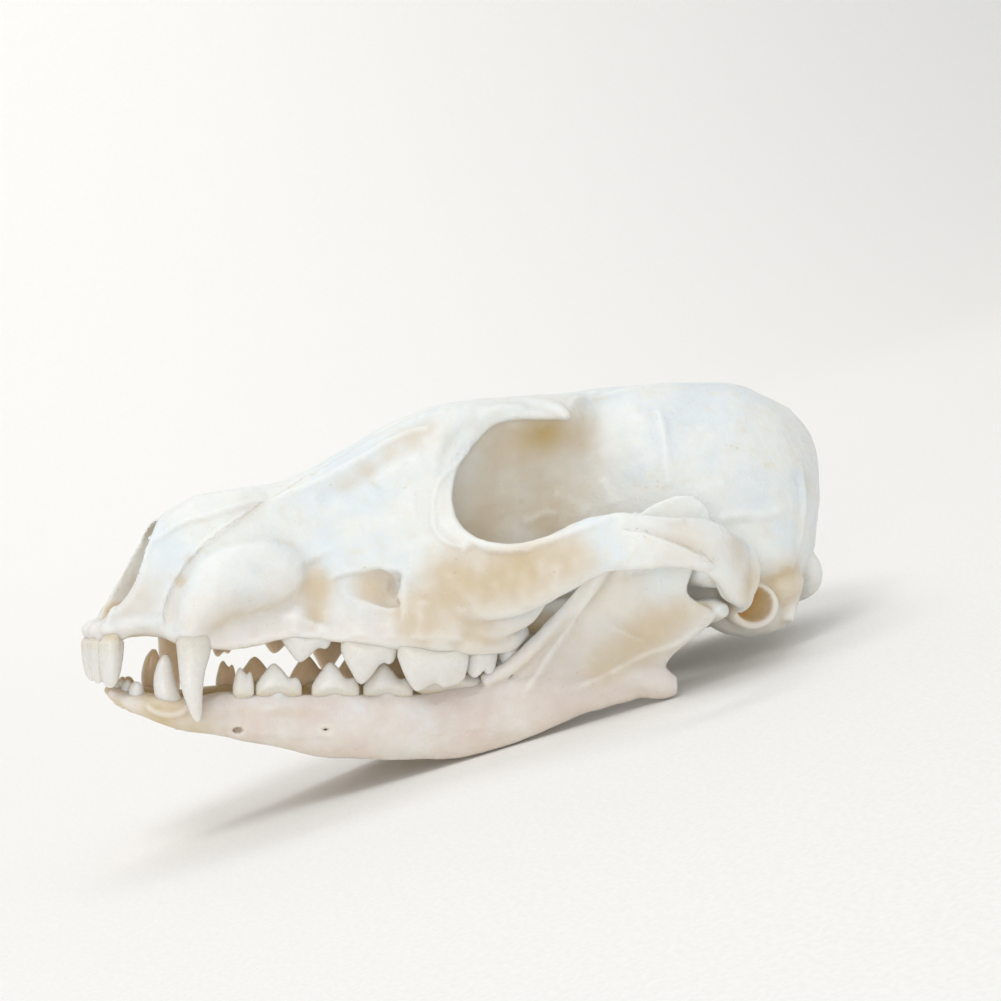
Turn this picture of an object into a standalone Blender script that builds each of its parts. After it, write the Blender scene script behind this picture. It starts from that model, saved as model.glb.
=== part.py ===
"""Skull of a red fox with its lower jaw closed under it: the cranium, two jaw halves and forty-one teeth.

Shapes are measured in millimetres on the skull itself:
  back  distance behind the front edge of the upper jaw,
  side  distance to the animal's left of its middle plane,
  up    height over the line of the upper gums.
The skull then rests nose up on the lower edge of its jaw, nose to -X, the animal's left side to -Y.
"""

import math

import bmesh
import bpy
import numpy as np

MM = 0.001
REST_PITCH = math.radians(18.4)
REST_SHIFT = (-0.07359, 0.0, 0.03926)

# Room left between a tooth and its socket, and between the two jaw halves at the chin.
GAP = 0.3
# Teeth: how deep the root goes, how far down its neck lies, the share of the crown's width at the neck and
# at the root's end, the crown's lowest edge as a share of its height, and how its sides lean in.
ROOT_DEPTH = 2.6
NECK_DEPTH = 0.4
NECK = 0.86
ROOT_TAPER = 0.72
COLLAR = 0.12
CROWN_LEAN = 0.85
# Bone trimmed away level round each tooth, and the length under which a tooth is given fewer faces.
RIM_TRIM = 1.0
SHORT_TOOTH = 6.0
LONG_CROWN_STEPS = (0.42, 0.84)
SHORT_CROWN_STEPS = (0.6,)
# How a bone is melted into one: grain in millimetres, rounds of smoothing, share of its faces kept.
CRANIUM_MELT = (0.7, 2, 0.0165)
JAW_MELT = (0.6, 2, 0.018)
# Block that squares off the chin where the jaw halves meet: how far across, down, up and back it reaches.
CHIN_BLOCK = (20, -40, 10, 60)
# Nose opening: middle height, half width, half height, and the places where its width is read.
NOSE_MIDDLE = 13
NOSE_WIDE = 5.7
NOSE_TALL = 8.0
NOSE_PLACES = (-3, 12, 22)
NOSE_SHRINK = (1, 0.96, 0.6)
NOSE_RISE = 2
NOSE_SWING = 0.08
# Angle left open at both ends of an egg, in radians.
EGG_END = 0.12
# How much longer than its tooth a canine's socket is, and how much wider than the gap it is cut.
CANINE_REACH = 0.14
CANINE_ROOM = 1.3

BONE = ("bleached_bone", (0.86, 0.84, 0.77, 1.0), 0.62)
TOOTH = ("tooth_enamel", (0.92, 0.91, 0.87, 1.0), 0.30)

# How far the front rim of the nose leans back with height, and where that lean ends.
NOSE_LEAN = 0.5
NOSE_LEAN_END = 34.0

# Cross-sections of nose, forehead and braincase: back, crown height, then (side, up) of shoulder, brow,
# upper wall, middle wall, lower wall, cheek, outer gum, inner gum and palate side, and palate height.
BODY_SECTIONS = (
    (0, 22.6, (4.2, 21.8), (6, 18.8), (7, 15.5), (7.5, 10.5), (7.3, 6.8), (6.9, 3.9), (6.4, 1.4),
     (4, 0.9), (2, 1), 1),
    (4, 26.6, (4.6, 25.6), (7, 22), (8, 18), (8.6, 12.5), (8.8, 8), (8.9, 4.6), (9, 2.5), (6, 1.3),
     (3, 1.8), 2),
    (10, 28, (4.8, 27.2), (7.8, 23.8), (9.2, 19), (10, 13.5), (10.4, 9), (10.4, 5.5), (10.2, 3),
     (7.5, 2.2), (4, 3), 3.2),
    (16, 28.7, (5, 27.9), (8.2, 24.5), (10.2, 19.5), (11.2, 14), (11.6, 9.5), (12, 5), (12.6, 1),
     (8.5, 0.8), (5, 3.3), 3.8),
    (24, 29.4, (5, 28.6), (8.3, 25.2), (10.2, 20), (11.2, 14), (11.5, 9), (11.8, 4.5), (12.5, -0.2),
     (8.6, 0), (5.5, 3.6), 4.2),
    (34, 30.6, (5.2, 30), (8, 27), (9.3, 22), (9.8, 16), (10, 11), (11, 6.5), (13.3, 1), (9.2, 1),
     (6, 4.2), 4.5),
    (43, 35.2, (6.2, 34.4), (9.5, 31.3), (11, 26), (11.9, 19.5), (12.4, 13.5), (13.2, 8),
     (15.2, 0.6), (11, 0.6), (7, 4.4), 4.8),
    (51, 39.8, (7.8, 39.1), (12.2, 36), (14, 30.5), (15.2, 23.5), (16, 16.5), (16.8, 9.5),
     (17.6, -0.5), (12.2, -0.2), (8.5, 4.3), 5),
    (57, 43.1, (9, 42.4), (14.5, 39), (16.3, 33), (17.5, 26), (18.2, 18.5), (19.2, 10.5),
     (20, -0.8), (12.8, -0.4), (10, 4.2), 5),
    (60.5, 44.7, (9.6, 44), (15.5, 40.5), (16.8, 34.5), (18, 27.5), (18.8, 20), (20.2, 11.5),
     (20.8, -0.7), (13, -0.4), (10.3, 4.2), 5),
    (64, 46.1, (10, 45.3), (15.8, 42), (12.5, 35), (12.5, 27), (14, 19), (20.5, 12.5), (20.7, -0.4),
     (13, -0.2), (10.4, 4.3), 5),
    (68, 47.1, (10, 46.3), (15, 43.3), (10.3, 36.5), (9.8, 28), (11, 19), (19.7, 12.5), (19.7, 0.4),
     (12.8, 0.4), (10, 4.4), 5),
    (72, 47.5, (10, 46.8), (14, 44), (9.6, 37.5), (8.8, 28.5), (9.5, 19), (17.5, 12.5), (17.8, 2),
     (12.3, 2.2), (9, 4.8), 5.2),
    (76, 47.8, (10.2, 47.1), (14.5, 44.5), (9.8, 38), (8.6, 28.5), (8.7, 19.5), (11, 12.5), (12, 7),
     (9, 6.8), (5.5, 8.6), 9),
    (80, 48.2, (10.8, 47.6), (16, 44.6), (10.2, 38.5), (8.6, 29), (8.5, 20), (8.8, 14.5),
     (8.8, 10.5), (7, 9.3), (4.5, 9.8), 10.2),
    (85, 48.8, (10.5, 48.1), (14.5, 45), (11, 38.8), (9.2, 29.5), (8.8, 21), (8.9, 15.5), (8.6, 11),
     (7, 9.6), (4.5, 9.9), 10.2),
    (92, 50, (6, 49.4), (9.8, 45.5), (11.6, 39), (12, 30), (11.5, 22), (11, 16), (10, 12),
     (7.8, 10.2), (4.5, 10), 10),
    (100, 51.2, (8, 50.1), (14, 45), (17.8, 38), (19, 30), (18.3, 22), (17, 16.5), (14, 12.6),
     (10, 10.6), (5, 10), 9.9),
    (110, 52.2, (9.5, 50.8), (17, 44.8), (21.5, 37.3), (23, 29.5), (22.7, 22), (21.8, 17), (18, 13),
     (12.5, 10.8), (6, 10), 9.7),
    (120, 52.7, (10.5, 51), (18, 44.8), (22.3, 37), (23.6, 29.3), (23.6, 22.5), (23, 17.5),
     (19.5, 13), (13, 10.8), (6, 9.8), 9.5),
    (128, 51.6, (10.5, 49.2), (17.2, 43), (20.4, 35.5), (21.6, 28.3), (21.8, 22), (21.4, 17.5),
     (18, 13.5), (12.5, 11.5), (6, 10.5), 10),
    (134.5, 49, (9.4, 46.2), (14.6, 40.4), (17, 34), (17.8, 27.8), (17.4, 22.5), (16, 18.5),
     (12.6, 15.3), (9, 13.4), (4.5, 12.4), 12),
    (139.8, 44.8, (7.2, 42.5), (10.6, 37.6), (12, 32.4), (12, 27.4), (11.4, 23.4), (10, 20.2),
     (8, 17.6), (6, 16), (3, 15), 14.6),
    (143.6, 38.6, (3.8, 37.2), (5.8, 34.2), (6.6, 31.2), (6.6, 28.2), (6.2, 25.6), (5.4, 23.5),
     (4.3, 21.8), (3, 20.8), (1.5, 20.2), 20),
)


def smooth(knots, places):
    """Values at places on a smooth curve through knots, each a row of a place and its values."""
    rows = np.asarray(knots, float)
    place, value = rows[:, 0], rows[:, 1:]
    slope = np.gradient(value, place, axis=0)
    places = np.asarray(places, float)
    i = np.clip(np.searchsorted(place, places) - 1, 0, len(place) - 2)
    span = (place[i + 1] - place[i])[:, None]
    u = (places - place[i])[:, None] / span
    start = (1 + 2 * u) * (1 - u) ** 2 * value[i] + u * (1 - u) ** 2 * span * slope[i]
    return start + u * u * (3 - 2 * u) * value[i + 1] + u * u * (u - 1) * span * slope[i + 1]


def along(rows, count):
    """Rows of numbers read at count evenly spaced steps along a smooth curve through the rows."""
    rows = np.asarray(rows, float)
    reach = np.r_[0, np.cumsum(np.linalg.norm(np.diff(rows[:, :3], axis=0), axis=1))]
    return smooth(np.c_[reach, rows], np.linspace(0, reach[-1], count))


def closed_mesh(bm, rings, mirrored=False):
    """Adds to bm the closed body whose skin runs over rings of points, (back, side, up) in millimetres."""
    rings = np.array(rings, float)
    if mirrored:
        rings[..., 1] *= -1
    loops = [[bm.verts.new((p[0] * MM, -p[1] * MM, p[2] * MM)) for p in ring] for ring in rings]
    faces = [bm.faces.new(loops[0]), bm.faces.new(loops[-1])]
    for low, high in zip(loops, loops[1:]):
        for k in range(len(low)):
            faces.append(bm.faces.new((low[k - 1], low[k], high[k], high[k - 1])))
    bmesh.ops.recalc_face_normals(bm, faces=faces)
    return faces


def both_sides(bm, rings):
    """The same body on the animal's left and on its right."""
    closed_mesh(bm, rings)
    closed_mesh(bm, rings, mirrored=True)


def body_rings(sections, step):
    """Rings round the head, on smooth curves through the sections both round it and along it."""
    net = []
    for back, crown, *wall, palate in sections:
        half = [(0, crown), *wall, (0, palate)]
        padded = [(-half[1][0], half[1][1]), *half, (-half[-2][0], half[-2][1])]
        count = len(half) - 1
        levels = np.linspace(0, count, 2 * count + 1)
        curve = smooth(np.c_[np.arange(-1, count + 2), padded], levels)
        net.append(np.r_[back, curve.ravel()])
    last = sections[-1][0]
    rows = smooth(net, np.linspace(0, last, int(last / step) + 1))
    places = np.linspace(0, last, int(last / step) + 1)
    half = rows.reshape(len(places), -1, 2)
    ease = np.clip(places / NOSE_LEAN_END, 0, 1)
    lean = NOSE_LEAN * (1 - ease * ease * (3 - 2 * ease))
    left = np.dstack([places[:, None] + lean[:, None] * half[..., 1], half])
    right = left[:, -2:0:-1] * (1, -1, 1)
    return np.concatenate([left, right], axis=1)


def sweep_rings(rows, sides=10, steps=10, power=2.0, up=(0, 0, 1)):
    """Rings of a bar along rows of (back, side, up, half height, half width), on a smooth curve."""
    rows = along(rows, steps)
    path, tall, wide = rows[:, :3], np.abs(rows[:, 3]), np.abs(rows[:, 4])
    run = np.gradient(path, axis=0)
    run /= np.linalg.norm(run, axis=1)[:, None]
    rise = np.asarray(up, float) - run * (run @ np.asarray(up, float))[:, None]
    rise /= np.linalg.norm(rise, axis=1)[:, None]
    across = np.cross(run, rise)
    turn = np.linspace(0, 2 * math.pi, sides, endpoint=False)
    c, s = np.cos(turn), np.sin(turn)
    c, s = np.sign(c) * np.abs(c) ** (2 / power), np.sign(s) * np.abs(s) ** (2 / power)
    return (path[:, None] + rise[:, None] * (tall[:, None] * c)[..., None]
            + across[:, None] * (wide[:, None] * s)[..., None])


def egg_rings(centre, radii, tilt=0.0, sides=12, steps=7):
    """Rings of an egg round centre with half lengths radii, its long axis raised by tilt degrees."""
    angle = np.linspace(EGG_END, math.pi - EGG_END, steps)
    turn = np.linspace(0, 2 * math.pi, sides, endpoint=False)
    x = -np.cos(angle)[:, None] * radii[0] + 0 * turn
    y = np.sin(angle)[:, None] * np.cos(turn) * radii[1]
    z = np.sin(angle)[:, None] * np.sin(turn) * radii[2]
    a = math.radians(tilt)
    return np.stack([centre[0] + x * math.cos(a) - z * math.sin(a), centre[1] + y,
                     centre[2] + x * math.sin(a) + z * math.cos(a)], axis=-1)


def add_arches(bm):
    """Cheek arches: thin bars from the cheek round the eye to a broad root on the braincase."""
    arch = [
        (55, 15, 15, 7, 3), (61, 18.5, 14.4, 8, 3.2), (66, 22.4, 13.4, 7.2, 2.6),
        (70.5, 26.2, 13.6, 6.4, 2.1),
        (77, 30.8, 16.6, 5.4, 1.8), (84, 34.2, 20.4, 5.2, 1.7), (91, 36.6, 20.8, 4.7, 1.7),
        (98, 37.3, 21, 4.3, 1.8),
        (104, 36.2, 20.2, 4.4, 2), (109.5, 33.2, 17.6, 5.4, 2.1), (113.6, 29, 15.4, 6, 2.2),
        (116.6, 24, 14.4, 5, 2.6),
    ]
    both_sides(bm, sweep_rings(arch, sides=12, steps=26, power=2.4))
    shelf = [(108, 20, 15.6, 2.6, 4), (110.5, 26, 15.4, 2.4, 4.2), (111, 31, 16.8, 2, 3.2)]
    both_sides(bm, sweep_rings(shelf, sides=10, steps=6, power=2.4))
    cheek_root = [(64, 19, 6.4, 5, 2.4), (70, 20.6, 7.6, 4.6, 2.2), (75, 20.8, 9.2, 3.6, 1.8),
                  (78, 21.6, 11.6, 2, 1.2)]
    both_sides(bm, sweep_rings(cheek_root, sides=10, steps=8, power=2.4))
    stop = [(116.3, 17, 11.6, 3.6, 1.6), (116, 22, 11.4, 3.6, 1.7), (115.4, 27, 12.6, 4, 1.7),
            (114.6, 29.6, 15, 3.4, 1.5)]
    both_sides(bm, sweep_rings(stop, sides=8, steps=7, power=2.4))


def add_eye_rims(bm):
    """Raised rims of the eye sockets, and the short horns behind the eyes."""
    rim = [
        (81.5, 16.8, 44.1, 1.2, 1.6), (76.5, 15.4, 44.2, 1.4, 1.5), (71, 14.6, 42.6, 1.8, 1.4),
        (66.5, 14.8, 38.5, 2.4, 1.5),
        (62.8, 15.8, 32.4, 2.6, 1.6), (61.6, 17.4, 27, 2.4, 1.7), (62.6, 20.4, 22.5, 1.8, 1.7),
        (65.5, 24.2, 19.8, 1.4, 1.6),
        (70.6, 28.6, 19.2, 1.2, 1.5), (76.5, 31.8, 21, 1.1, 1.4), (82, 34, 24, 1, 1.3),
    ]
    both_sides(bm, sweep_rings(rim, sides=8, steps=28, up=(0, 1, 0)))
    horn = [(76, 10, 45.4, 2, 3), (80.5, 13.6, 45.2, 1.8, 2.8), (82.6, 16.6, 44.2, 1.5, 2),
            (83.4, 18.3, 43.2, 0.8, 1)]
    both_sides(bm, sweep_rings(horn, sides=8, steps=6))


def add_nose_and_canine_swellings(bm):
    """The bar that holds the front teeth, and the long swellings over the canine roots."""
    arch = [(11, -9.4, 3.6, 2.4, 2), (4.4, -7.4, 2.2, 2.5, 2.2), (1.9, -4.2, 1.4, 2.8, 2.4),
            (1.6, 0, 1.4, 2.8, 2.4),
            (1.9, 4.2, 1.4, 2.8, 2.4), (4.4, 7.4, 2.2, 2.5, 2.2), (11, 9.4, 3.6, 2.4, 2)]
    closed_mesh(bm, sweep_rings(arch, sides=10, steps=19))
    root = [(16.6, 10.4, 1.6, 3, 3), (18.4, 10.3, 6.6, 4.6, 4.2), (21.8, 10.2, 11, 6.2, 5),
            (27, 9.6, 13.2, 6.4, 5.3), (33, 8.3, 13.8, 5.2, 4.6), (38.5, 6.8, 14, 2.6, 2.6)]
    both_sides(bm, sweep_rings(root, sides=10, steps=12))


def add_skull_base(bm):
    """Ear capsules with their rings, and the knobs, plates and crests under and behind the braincase."""
    both_sides(bm, egg_rings((122.5, 13.2, 10.2), (10.5, 7.4, 6.9)))
    ring = [(119.6, 17.5, 10.4, 4.2, 4.6), (119.4, 21, 9.8, 4, 4.9), (119.3, 23.6, 9.4, 3.7, 4.9)]
    both_sides(bm, sweep_rings(ring, sides=12, steps=4))
    both_sides(bm, egg_rings((127.6, 21.6, 13.6), (4.4, 3.2, 5), sides=8, steps=5))
    tip = [(129.6, 17.6, 15, 2.6, 2.8), (129, 18.4, 10, 1.8, 2.4), (128.4, 18.8, 6.6, 1.2, 1.5)]
    both_sides(bm, sweep_rings(tip, sides=8, steps=5, up=(1, 0, 0)))
    knob = [(137.5, 3.6, 11.6, 2.2, 2.6), (140, 6.8, 13.4, 2.9, 3), (139.4, 10.4, 16.8, 2.8, 2.8),
            (136.8, 12, 20.4, 1.8, 2)]
    both_sides(bm, sweep_rings(knob, sides=8, steps=8, up=(1, 0, 0)))
    plate = [(69, 8.2, 6, 2.6, 1.2), (76, 7.6, 6.4, 3.8, 1), (84, 7.3, 6.8, 3.6, 0.9),
             (90, 7.8, 6.2, 3, 0.9),
             (94, 8.6, 4.2, 1.4, 0.9)]
    both_sides(bm, sweep_rings(plate, sides=8, steps=10, power=2.6))
    crest = [(127.5, 23, 16, 1.6, 1.4), (132.2, 20, 25, 1.6, 1.3), (132.6, 17.4, 34, 1.6, 1.3),
             (131.8, 13, 42.4, 1.5, 1.3),
             (133, 7, 47.6, 1.5, 1.4), (134.4, 0, 49.2, 1.6, 1.5)]
    both_sides(bm, sweep_rings(crest, sides=6, steps=16, up=(1, 0, 0)))


def add_hollows(bm):
    """Solids that the nose, the mouth of the throat, the spinal hole and the ears are cut with."""
    first, last = NOSE_PLACES[0], NOSE_PLACES[-1]
    places = np.linspace(first, last, 6)[:, None]
    turn = np.linspace(0, 2 * math.pi, 12, endpoint=False)
    shrink = np.interp(places, NOSE_PLACES, NOSE_SHRINK)
    side = NOSE_WIDE * np.sin(turn) * shrink
    rise = NOSE_RISE * (places - first) / (last - first) + NOSE_TALL * np.cos(turn) * shrink
    up = NOSE_MIDDLE + rise
    back = places + NOSE_LEAN * up - NOSE_SWING * places * rise
    closed_mesh(bm, np.stack([back, side, up], axis=-1))
    throat = [(62, 0, 9.4, 2.6, 4.6), (72, 0, 8.6, 3.2, 5.2), (80, 0, 5.6, 3.4, 5.2)]
    closed_mesh(bm, sweep_rings(throat, sides=10, steps=4, power=3))
    spine = [(128, 0, 24.6, 3.5, 5), (134, 0, 23.6, 5.4, 6.8), (141, 0, 21.8, 6, 7.4),
             (149, 0, 19.4, 6.6, 8)]
    closed_mesh(bm, sweep_rings(spine, sides=12, steps=5))
    both_sides(bm, egg_rings((119.4, 25, 9.4), (2.9, 6.4, 2.3), sides=8, steps=6))
    front_hole = [(40, 16.4, 12.2, 1.6, 1.6), (47, 16.2, 12, 2.3, 1.9), (52.4, 17, 11.4, 2.2, 1.6)]
    both_sides(bm, sweep_rings(front_hole, sides=8, steps=4))


# Teeth. Each is back, side and gum height of its middle, then length, width and height of its crown, the
# turn of its long axis outward in degrees, and the outline of its cutting edge from front to back, as
# (place, height) from -1 to 1 and 0 to 1.
WEDGE = ((-1, 0.35), (0, 1), (1, 0.35))
LOW_WEDGE = ((-1, 0.2), (-0.42, 1), (0.42, 0.5), (1, 0.2))
PREMOLAR = ((-1, 0.1), (-0.84, 0.3), (-0.3, 1), (0, 0.8), (0.42, 0.4), (0.84, 0.34), (1, 0.1))
UPPER_CARNASSIAL = ((-1, 0.1), (-0.84, 0.3), (-0.42, 1), (0, 0.75), (0.2, 0.5), (0.6, 0.78),
(0.84, 0.6), (1, 0.3))
LOWER_CARNASSIAL = ((-1, 0.3), (-0.84, 0.5), (-0.42, 0.8), (-0.1, 1), (0.2, 0.5), (0.84, 0.3), (1, 0.1))
UPPER_MOLAR = ((-1, 0.3), (-0.42, 1), (0, 0.6), (0.42, 0.6), (1, 0.2))
MOLAR = ((-1, 0.3), (-0.42, 1), (0, 0.7), (0.42, 0.9), (1, 0.3))
UPPER_TEETH = {
    "incisor_1": (0.9, 1.75, -0.6, 2.6, 3.4, 5.8, 90, WEDGE),
    "incisor_2": (1.7, 4.9, -0.4, 2.7, 3.5, 6.1, 62, WEDGE),
    "incisor_3": (3.9, 7.7, 0.3, 3.1, 3.9, 6.7, 40, WEDGE),
    "premolar_1": (26.0, 11, 0.6, 4.2, 2.8, 3.2, 6, LOW_WEDGE),
    "premolar_2": (37.4, 11.9, 1.9, 8.8, 3.2, 4.2, 10, PREMOLAR),
    "premolar_3": (48.6, 14.6, 1.4, 9.0, 3.4, 6.8, 14, PREMOLAR),
    "premolar_4": (59.0, 18.2, 0.9, 12.6, 3.8, 7.4, 10, UPPER_CARNASSIAL),
    "molar_1": (69.1, 16.6, 1.0, 6.6, 8.8, 3.4, 0, UPPER_MOLAR),
    "molar_2": (74.6, 15.4, 2.9, 3.8, 6.6, 1.8, -4, UPPER_MOLAR),
}
LOWER_TEETH = {
    "incisor_1": (6.2, 1.4, -8.6, 2.1, 2.2, 2.6, 90, WEDGE),
    "incisor_2": (6.9, 3.9, -8.6, 2.3, 2.4, 2.8, 70, WEDGE),
    "incisor_3": (8.2, 6.1, -8.8, 2.4, 2.8, 2.9, 45, WEDGE),
    "premolar_1": (26.4, 9.0, -7.8, 3.6, 2.4, 3.4, 4, LOW_WEDGE),
    "premolar_2": (32.9, 9.4, -7.2, 7.8, 2.7, 4.7, 6, PREMOLAR),
    "premolar_3": (43.0, 10.5, -7.0, 8.4, 2.9, 5.0, 9, PREMOLAR),
    "premolar_4": (52.4, 12.2, -6.8, 8.8, 3.2, 4.8, 11, PREMOLAR),
    "molar_1": (63.8, 13.7, -6.2, 13.0, 4.2, 6.6, 6, LOWER_CARNASSIAL),
    "molar_2": (74.0, 14.9, -3.6, 5.6, 3.6, 2.6, 6, MOLAR),
    "molar_3": (79.0, 15.6, -2.0, 2.8, 2.4, 1.4, 6, MOLAR),
}
# Canines: rows from root to tip of back, side, up, half length and half width.
UPPER_CANINE = ((16.4, 11.3, 4.2, 2, 1.5), (16.5, 11.7, 1.6, 2.5, 1.8), (16.4, 12.4, -2.4, 2.4, 1.75),
                (16.7, 13, -6.2, 1.95, 1.45), (17.4, 13.3, -9.6, 1.2, 0.95),
                (18.1, 13.3, -12.3, 0.35, 0.3))
LOWER_CANINE = ((16.2, 8.0, -12.2, 1.5, 1.3), (14, 8.5, -9.9, 2.1, 1.6), (12.8, 8.5, -7, 2.2, 1.65),
                (12.3, 8.2, -4.4, 1.7, 1.35), (12.5, 7.8, -2.2, 1.0, 0.8), (12.8, 7.7, -0.7, 0.3, 0.25))


def tooth_place(spec, sense, side, u, v, height):
    """Point of a tooth: u along it, v across it, and height from the gum towards the tip."""
    back, out, gum, length, width, _, turn, _ = spec
    a = math.radians(turn)
    x = back + u * length / 2 * math.cos(a) - v * width / 2 * math.sin(a)
    y = out + u * length / 2 * math.sin(a) + v * width / 2 * math.cos(a)
    return np.stack([x, side * y, gum + sense * height + 0 * x], axis=-1)


def crown_height(spec, u, v):
    """Height of a crown over its gum: its cutting edge, falling away to both sides."""
    edge = smooth(spec[7], np.clip(u, -1, 1).ravel()).reshape(np.shape(u))
    return spec[5] * (COLLAR + (1 - COLLAR) * edge * (1 - np.abs(v) ** 1.5) ** 0.8)


def tooth_turns(spec):
    """How many sides a tooth has: fewer where it is short."""
    return 8 if spec[3] > SHORT_TOOTH else 6


def crown_rings(spec, sense, side):
    """Rings of a tooth from the end of its root, round its neck and over its cutting edge."""
    turn = np.linspace(0, 2 * math.pi, tooth_turns(spec), endpoint=False)
    steps = LONG_CROWN_STEPS if spec[3] > SHORT_TOOTH else SHORT_CROWN_STEPS
    c, s = np.cos(turn), np.sin(turn)
    rings = [tooth_place(spec, sense, side, k * c, k * s, h)
             for k, h in ((NECK * ROOT_TAPER, -ROOT_DEPTH), (NECK, -NECK_DEPTH), (1.0, COLLAR * spec[5]))]
    for k in steps[::-1]:
        tall = crown_height(spec, k * c, k * s)
        rings.append(tooth_place(spec, sense, side, k * c, k * s * CROWN_LEAN, tall))
    return rings


def add_tooth(bm, spec, sense, side):
    """One cheek or front tooth with its root, closed over the tip by a fan."""
    rings = crown_rings(spec, sense, side)
    faces = closed_mesh(bm, rings)
    middle = np.zeros(1)
    centre = tooth_place(spec, sense, side, middle, middle, crown_height(spec, middle, middle))[0]
    made = bmesh.ops.poke(bm, faces=[faces[1]])
    made["verts"][0].co = (centre[0] * MM, -centre[1] * MM, centre[2] * MM)


def socket_rings(spec, sense, side):
    """Rings of the hole that takes a tooth: its root and a gap all round, with the gum trimmed level."""
    length, width, tall = spec[3:6]
    turns = tooth_turns(spec)
    turn = np.linspace(0, 2 * math.pi, turns, endpoint=False)
    slack = GAP / math.cos(math.pi / turns)
    rings = []
    for k, h, room in ((NECK * ROOT_TAPER, -ROOT_DEPTH - GAP, slack), (NECK, -NECK_DEPTH - GAP, slack),
                       (1.0, 0, slack + RIM_TRIM), (1.0, tall, slack + RIM_TRIM)):
        u = (k + 2 * room / length) * np.cos(turn)
        v = (k + 2 * room / width) * np.sin(turn)
        rings.append(tooth_place(spec, sense, side, u, v, h))
    return rings


def canine_rings(rows, grow=0.0, sides=8, steps=7):
    """Rings of a curved, pointed canine from its root to its tip, wider all round by grow."""
    rows = np.array(rows, float)
    rows[:, 3:] += grow
    return sweep_rings(rows, sides=sides, steps=steps, up=(1, 0, 0))


def canine_socket(rows):
    """The part of a canine that its socket takes, longer and wider by the gap."""
    rows = np.array(rows[:3], float)
    rows[0, :3] += (rows[0, :3] - rows[1, :3]) * CANINE_REACH
    return canine_rings(rows, GAP * CANINE_ROOM, steps=3)


# Upright plate of the lower jaw: up, front edge, rear edge, side at its middle place, half thickness.
JAW_PLATE = (
    (-8.6, 77, 95, 20.2, 1.4), (-6, 75, 101, 20.5, 1.6), (-2, 74.6, 101.4, 20.9, 1.6),
    (2, 78, 103.8, 21.2, 1.6),
    (5, 80.4, 107.6, 21.4, 1.6), (8.5, 83.6, 109.6, 21.7, 1.5), (11, 85.6, 105.2, 21.9, 1.4),
    (15, 89.2, 105.2, 22.2, 1.3),
    (20, 91.8, 106.8, 22.6, 1.2), (25, 94.4, 108, 23, 1.1), (28, 97.6, 106.6, 23.2, 1),
    (29.7, 101.6, 104.4, 23.3, 0.8),
)
JAW_PLATE_MIDDLE = 90
JAW_PLATE_FLARE = 0.25


def plate_rings(rows, sides=16, steps=20, power=2.8):
    """Level rings of the jaw's upright plate, which flares outward towards the back."""
    levels = np.linspace(rows[0][0], rows[-1][0], steps)
    up, front, rear, side, half = smooth(np.c_[np.array(rows)[:, 0], rows], levels).T
    turn = np.linspace(0, 2 * math.pi, sides, endpoint=False)
    c, s = np.cos(turn), np.sin(turn)
    c, s = np.sign(c) * np.abs(c) ** (2 / power), np.sign(s) * np.abs(s) ** (2 / power)
    back = (front + rear)[:, None] / 2 + (rear - front)[:, None] / 2 * c
    out = side[:, None] + JAW_PLATE_FLARE * (back - JAW_PLATE_MIDDLE) + half[:, None] * s
    return np.stack([back, out, up[:, None] + 0 * c], axis=-1)


def add_jaw(bm):
    """The left half of the lower jaw: tooth bar, upright plate, hinge knob and rear hook."""
    bar = [
        (6.2, 2.7, -9.2, 1.3, 2.4), (9, 4.6, -9.8, 1.9, 4.3), (13, 5.7, -10.6, 2.6, 5.4),
        (18, 5.9, -11.6, 3.2, 5.2),
        (24, 6.7, -11.6, 4, 3.8), (30, 8.3, -12, 4.6, 2.9), (38, 9.6, -12.9, 5.6, 2.6),
        (47, 11.1, -13.4, 6, 2.7),
        (56, 12.7, -13.3, 6.3, 2.9), (64, 14, -12.4, 6.6, 2.9), (72, 15.8, -10.8, 6.4, 2.7),
        (79, 17.8, -8.6, 5.4, 2.4),
        (87, 20, -6.4, 4, 2), (95, 22.2, -5.6, 2.6, 1.6), (101, 23.6, -5, 1.8, 1.3),
    ]
    closed_mesh(bm, sweep_rings(bar, sides=12, steps=34, power=2.5))
    closed_mesh(bm, plate_rings(JAW_PLATE))
    front_edge = [(69, 16.4, -5, 1.4, 1.3), (74.6, 18.2, -1.4, 1.4, 1.3), (78.6, 19.5, 3, 1.5, 1.4),
                  (83, 20.7, 8, 1.5, 1.5),
                  (88.6, 22.1, 14.6, 1.5, 1.5), (92, 22.8, 21, 1.3, 1.4), (95.6, 23.4, 26, 1, 1.1)]
    closed_mesh(bm, sweep_rings(front_edge, sides=8, steps=12, up=(0, 1, 0)))
    neck = [(98, 22.8, 5.4, 4, 1.5), (104, 23.4, 7.2, 3.2, 1.7), (109.4, 23.8, 8.2, 2.4, 2.2)]
    closed_mesh(bm, sweep_rings(neck, sides=8, steps=5))
    knob = [(109.6, 17.6, 8.2, 1.6, 1.4), (110.4, 20.6, 8.6, 2.3, 2.2), (110.8, 25, 9, 2.4, 2.5),
            (110.8, 28.6, 9.4, 1.7, 1.7)]
    closed_mesh(bm, sweep_rings(knob, sides=8, steps=6))
    hook = [(92, 21.6, -3.4, 4, 1.6), (98, 23.2, -4.2, 3.6, 1.9), (101.6, 24.3, -5, 2.9, 2.1),
            (103.4, 24.8, -5, 1.7, 1.5)]
    closed_mesh(bm, sweep_rings(hook, sides=8, steps=6))


def material(name, colour, roughness):
    """A plain finish of one colour."""
    made = bpy.data.materials.new(name)
    made.use_nodes = True
    shader = made.node_tree.nodes["Principled BSDF"]
    shader.inputs["Base Color"].default_value = colour
    shader.inputs["Roughness"].default_value = roughness
    return made


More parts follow.
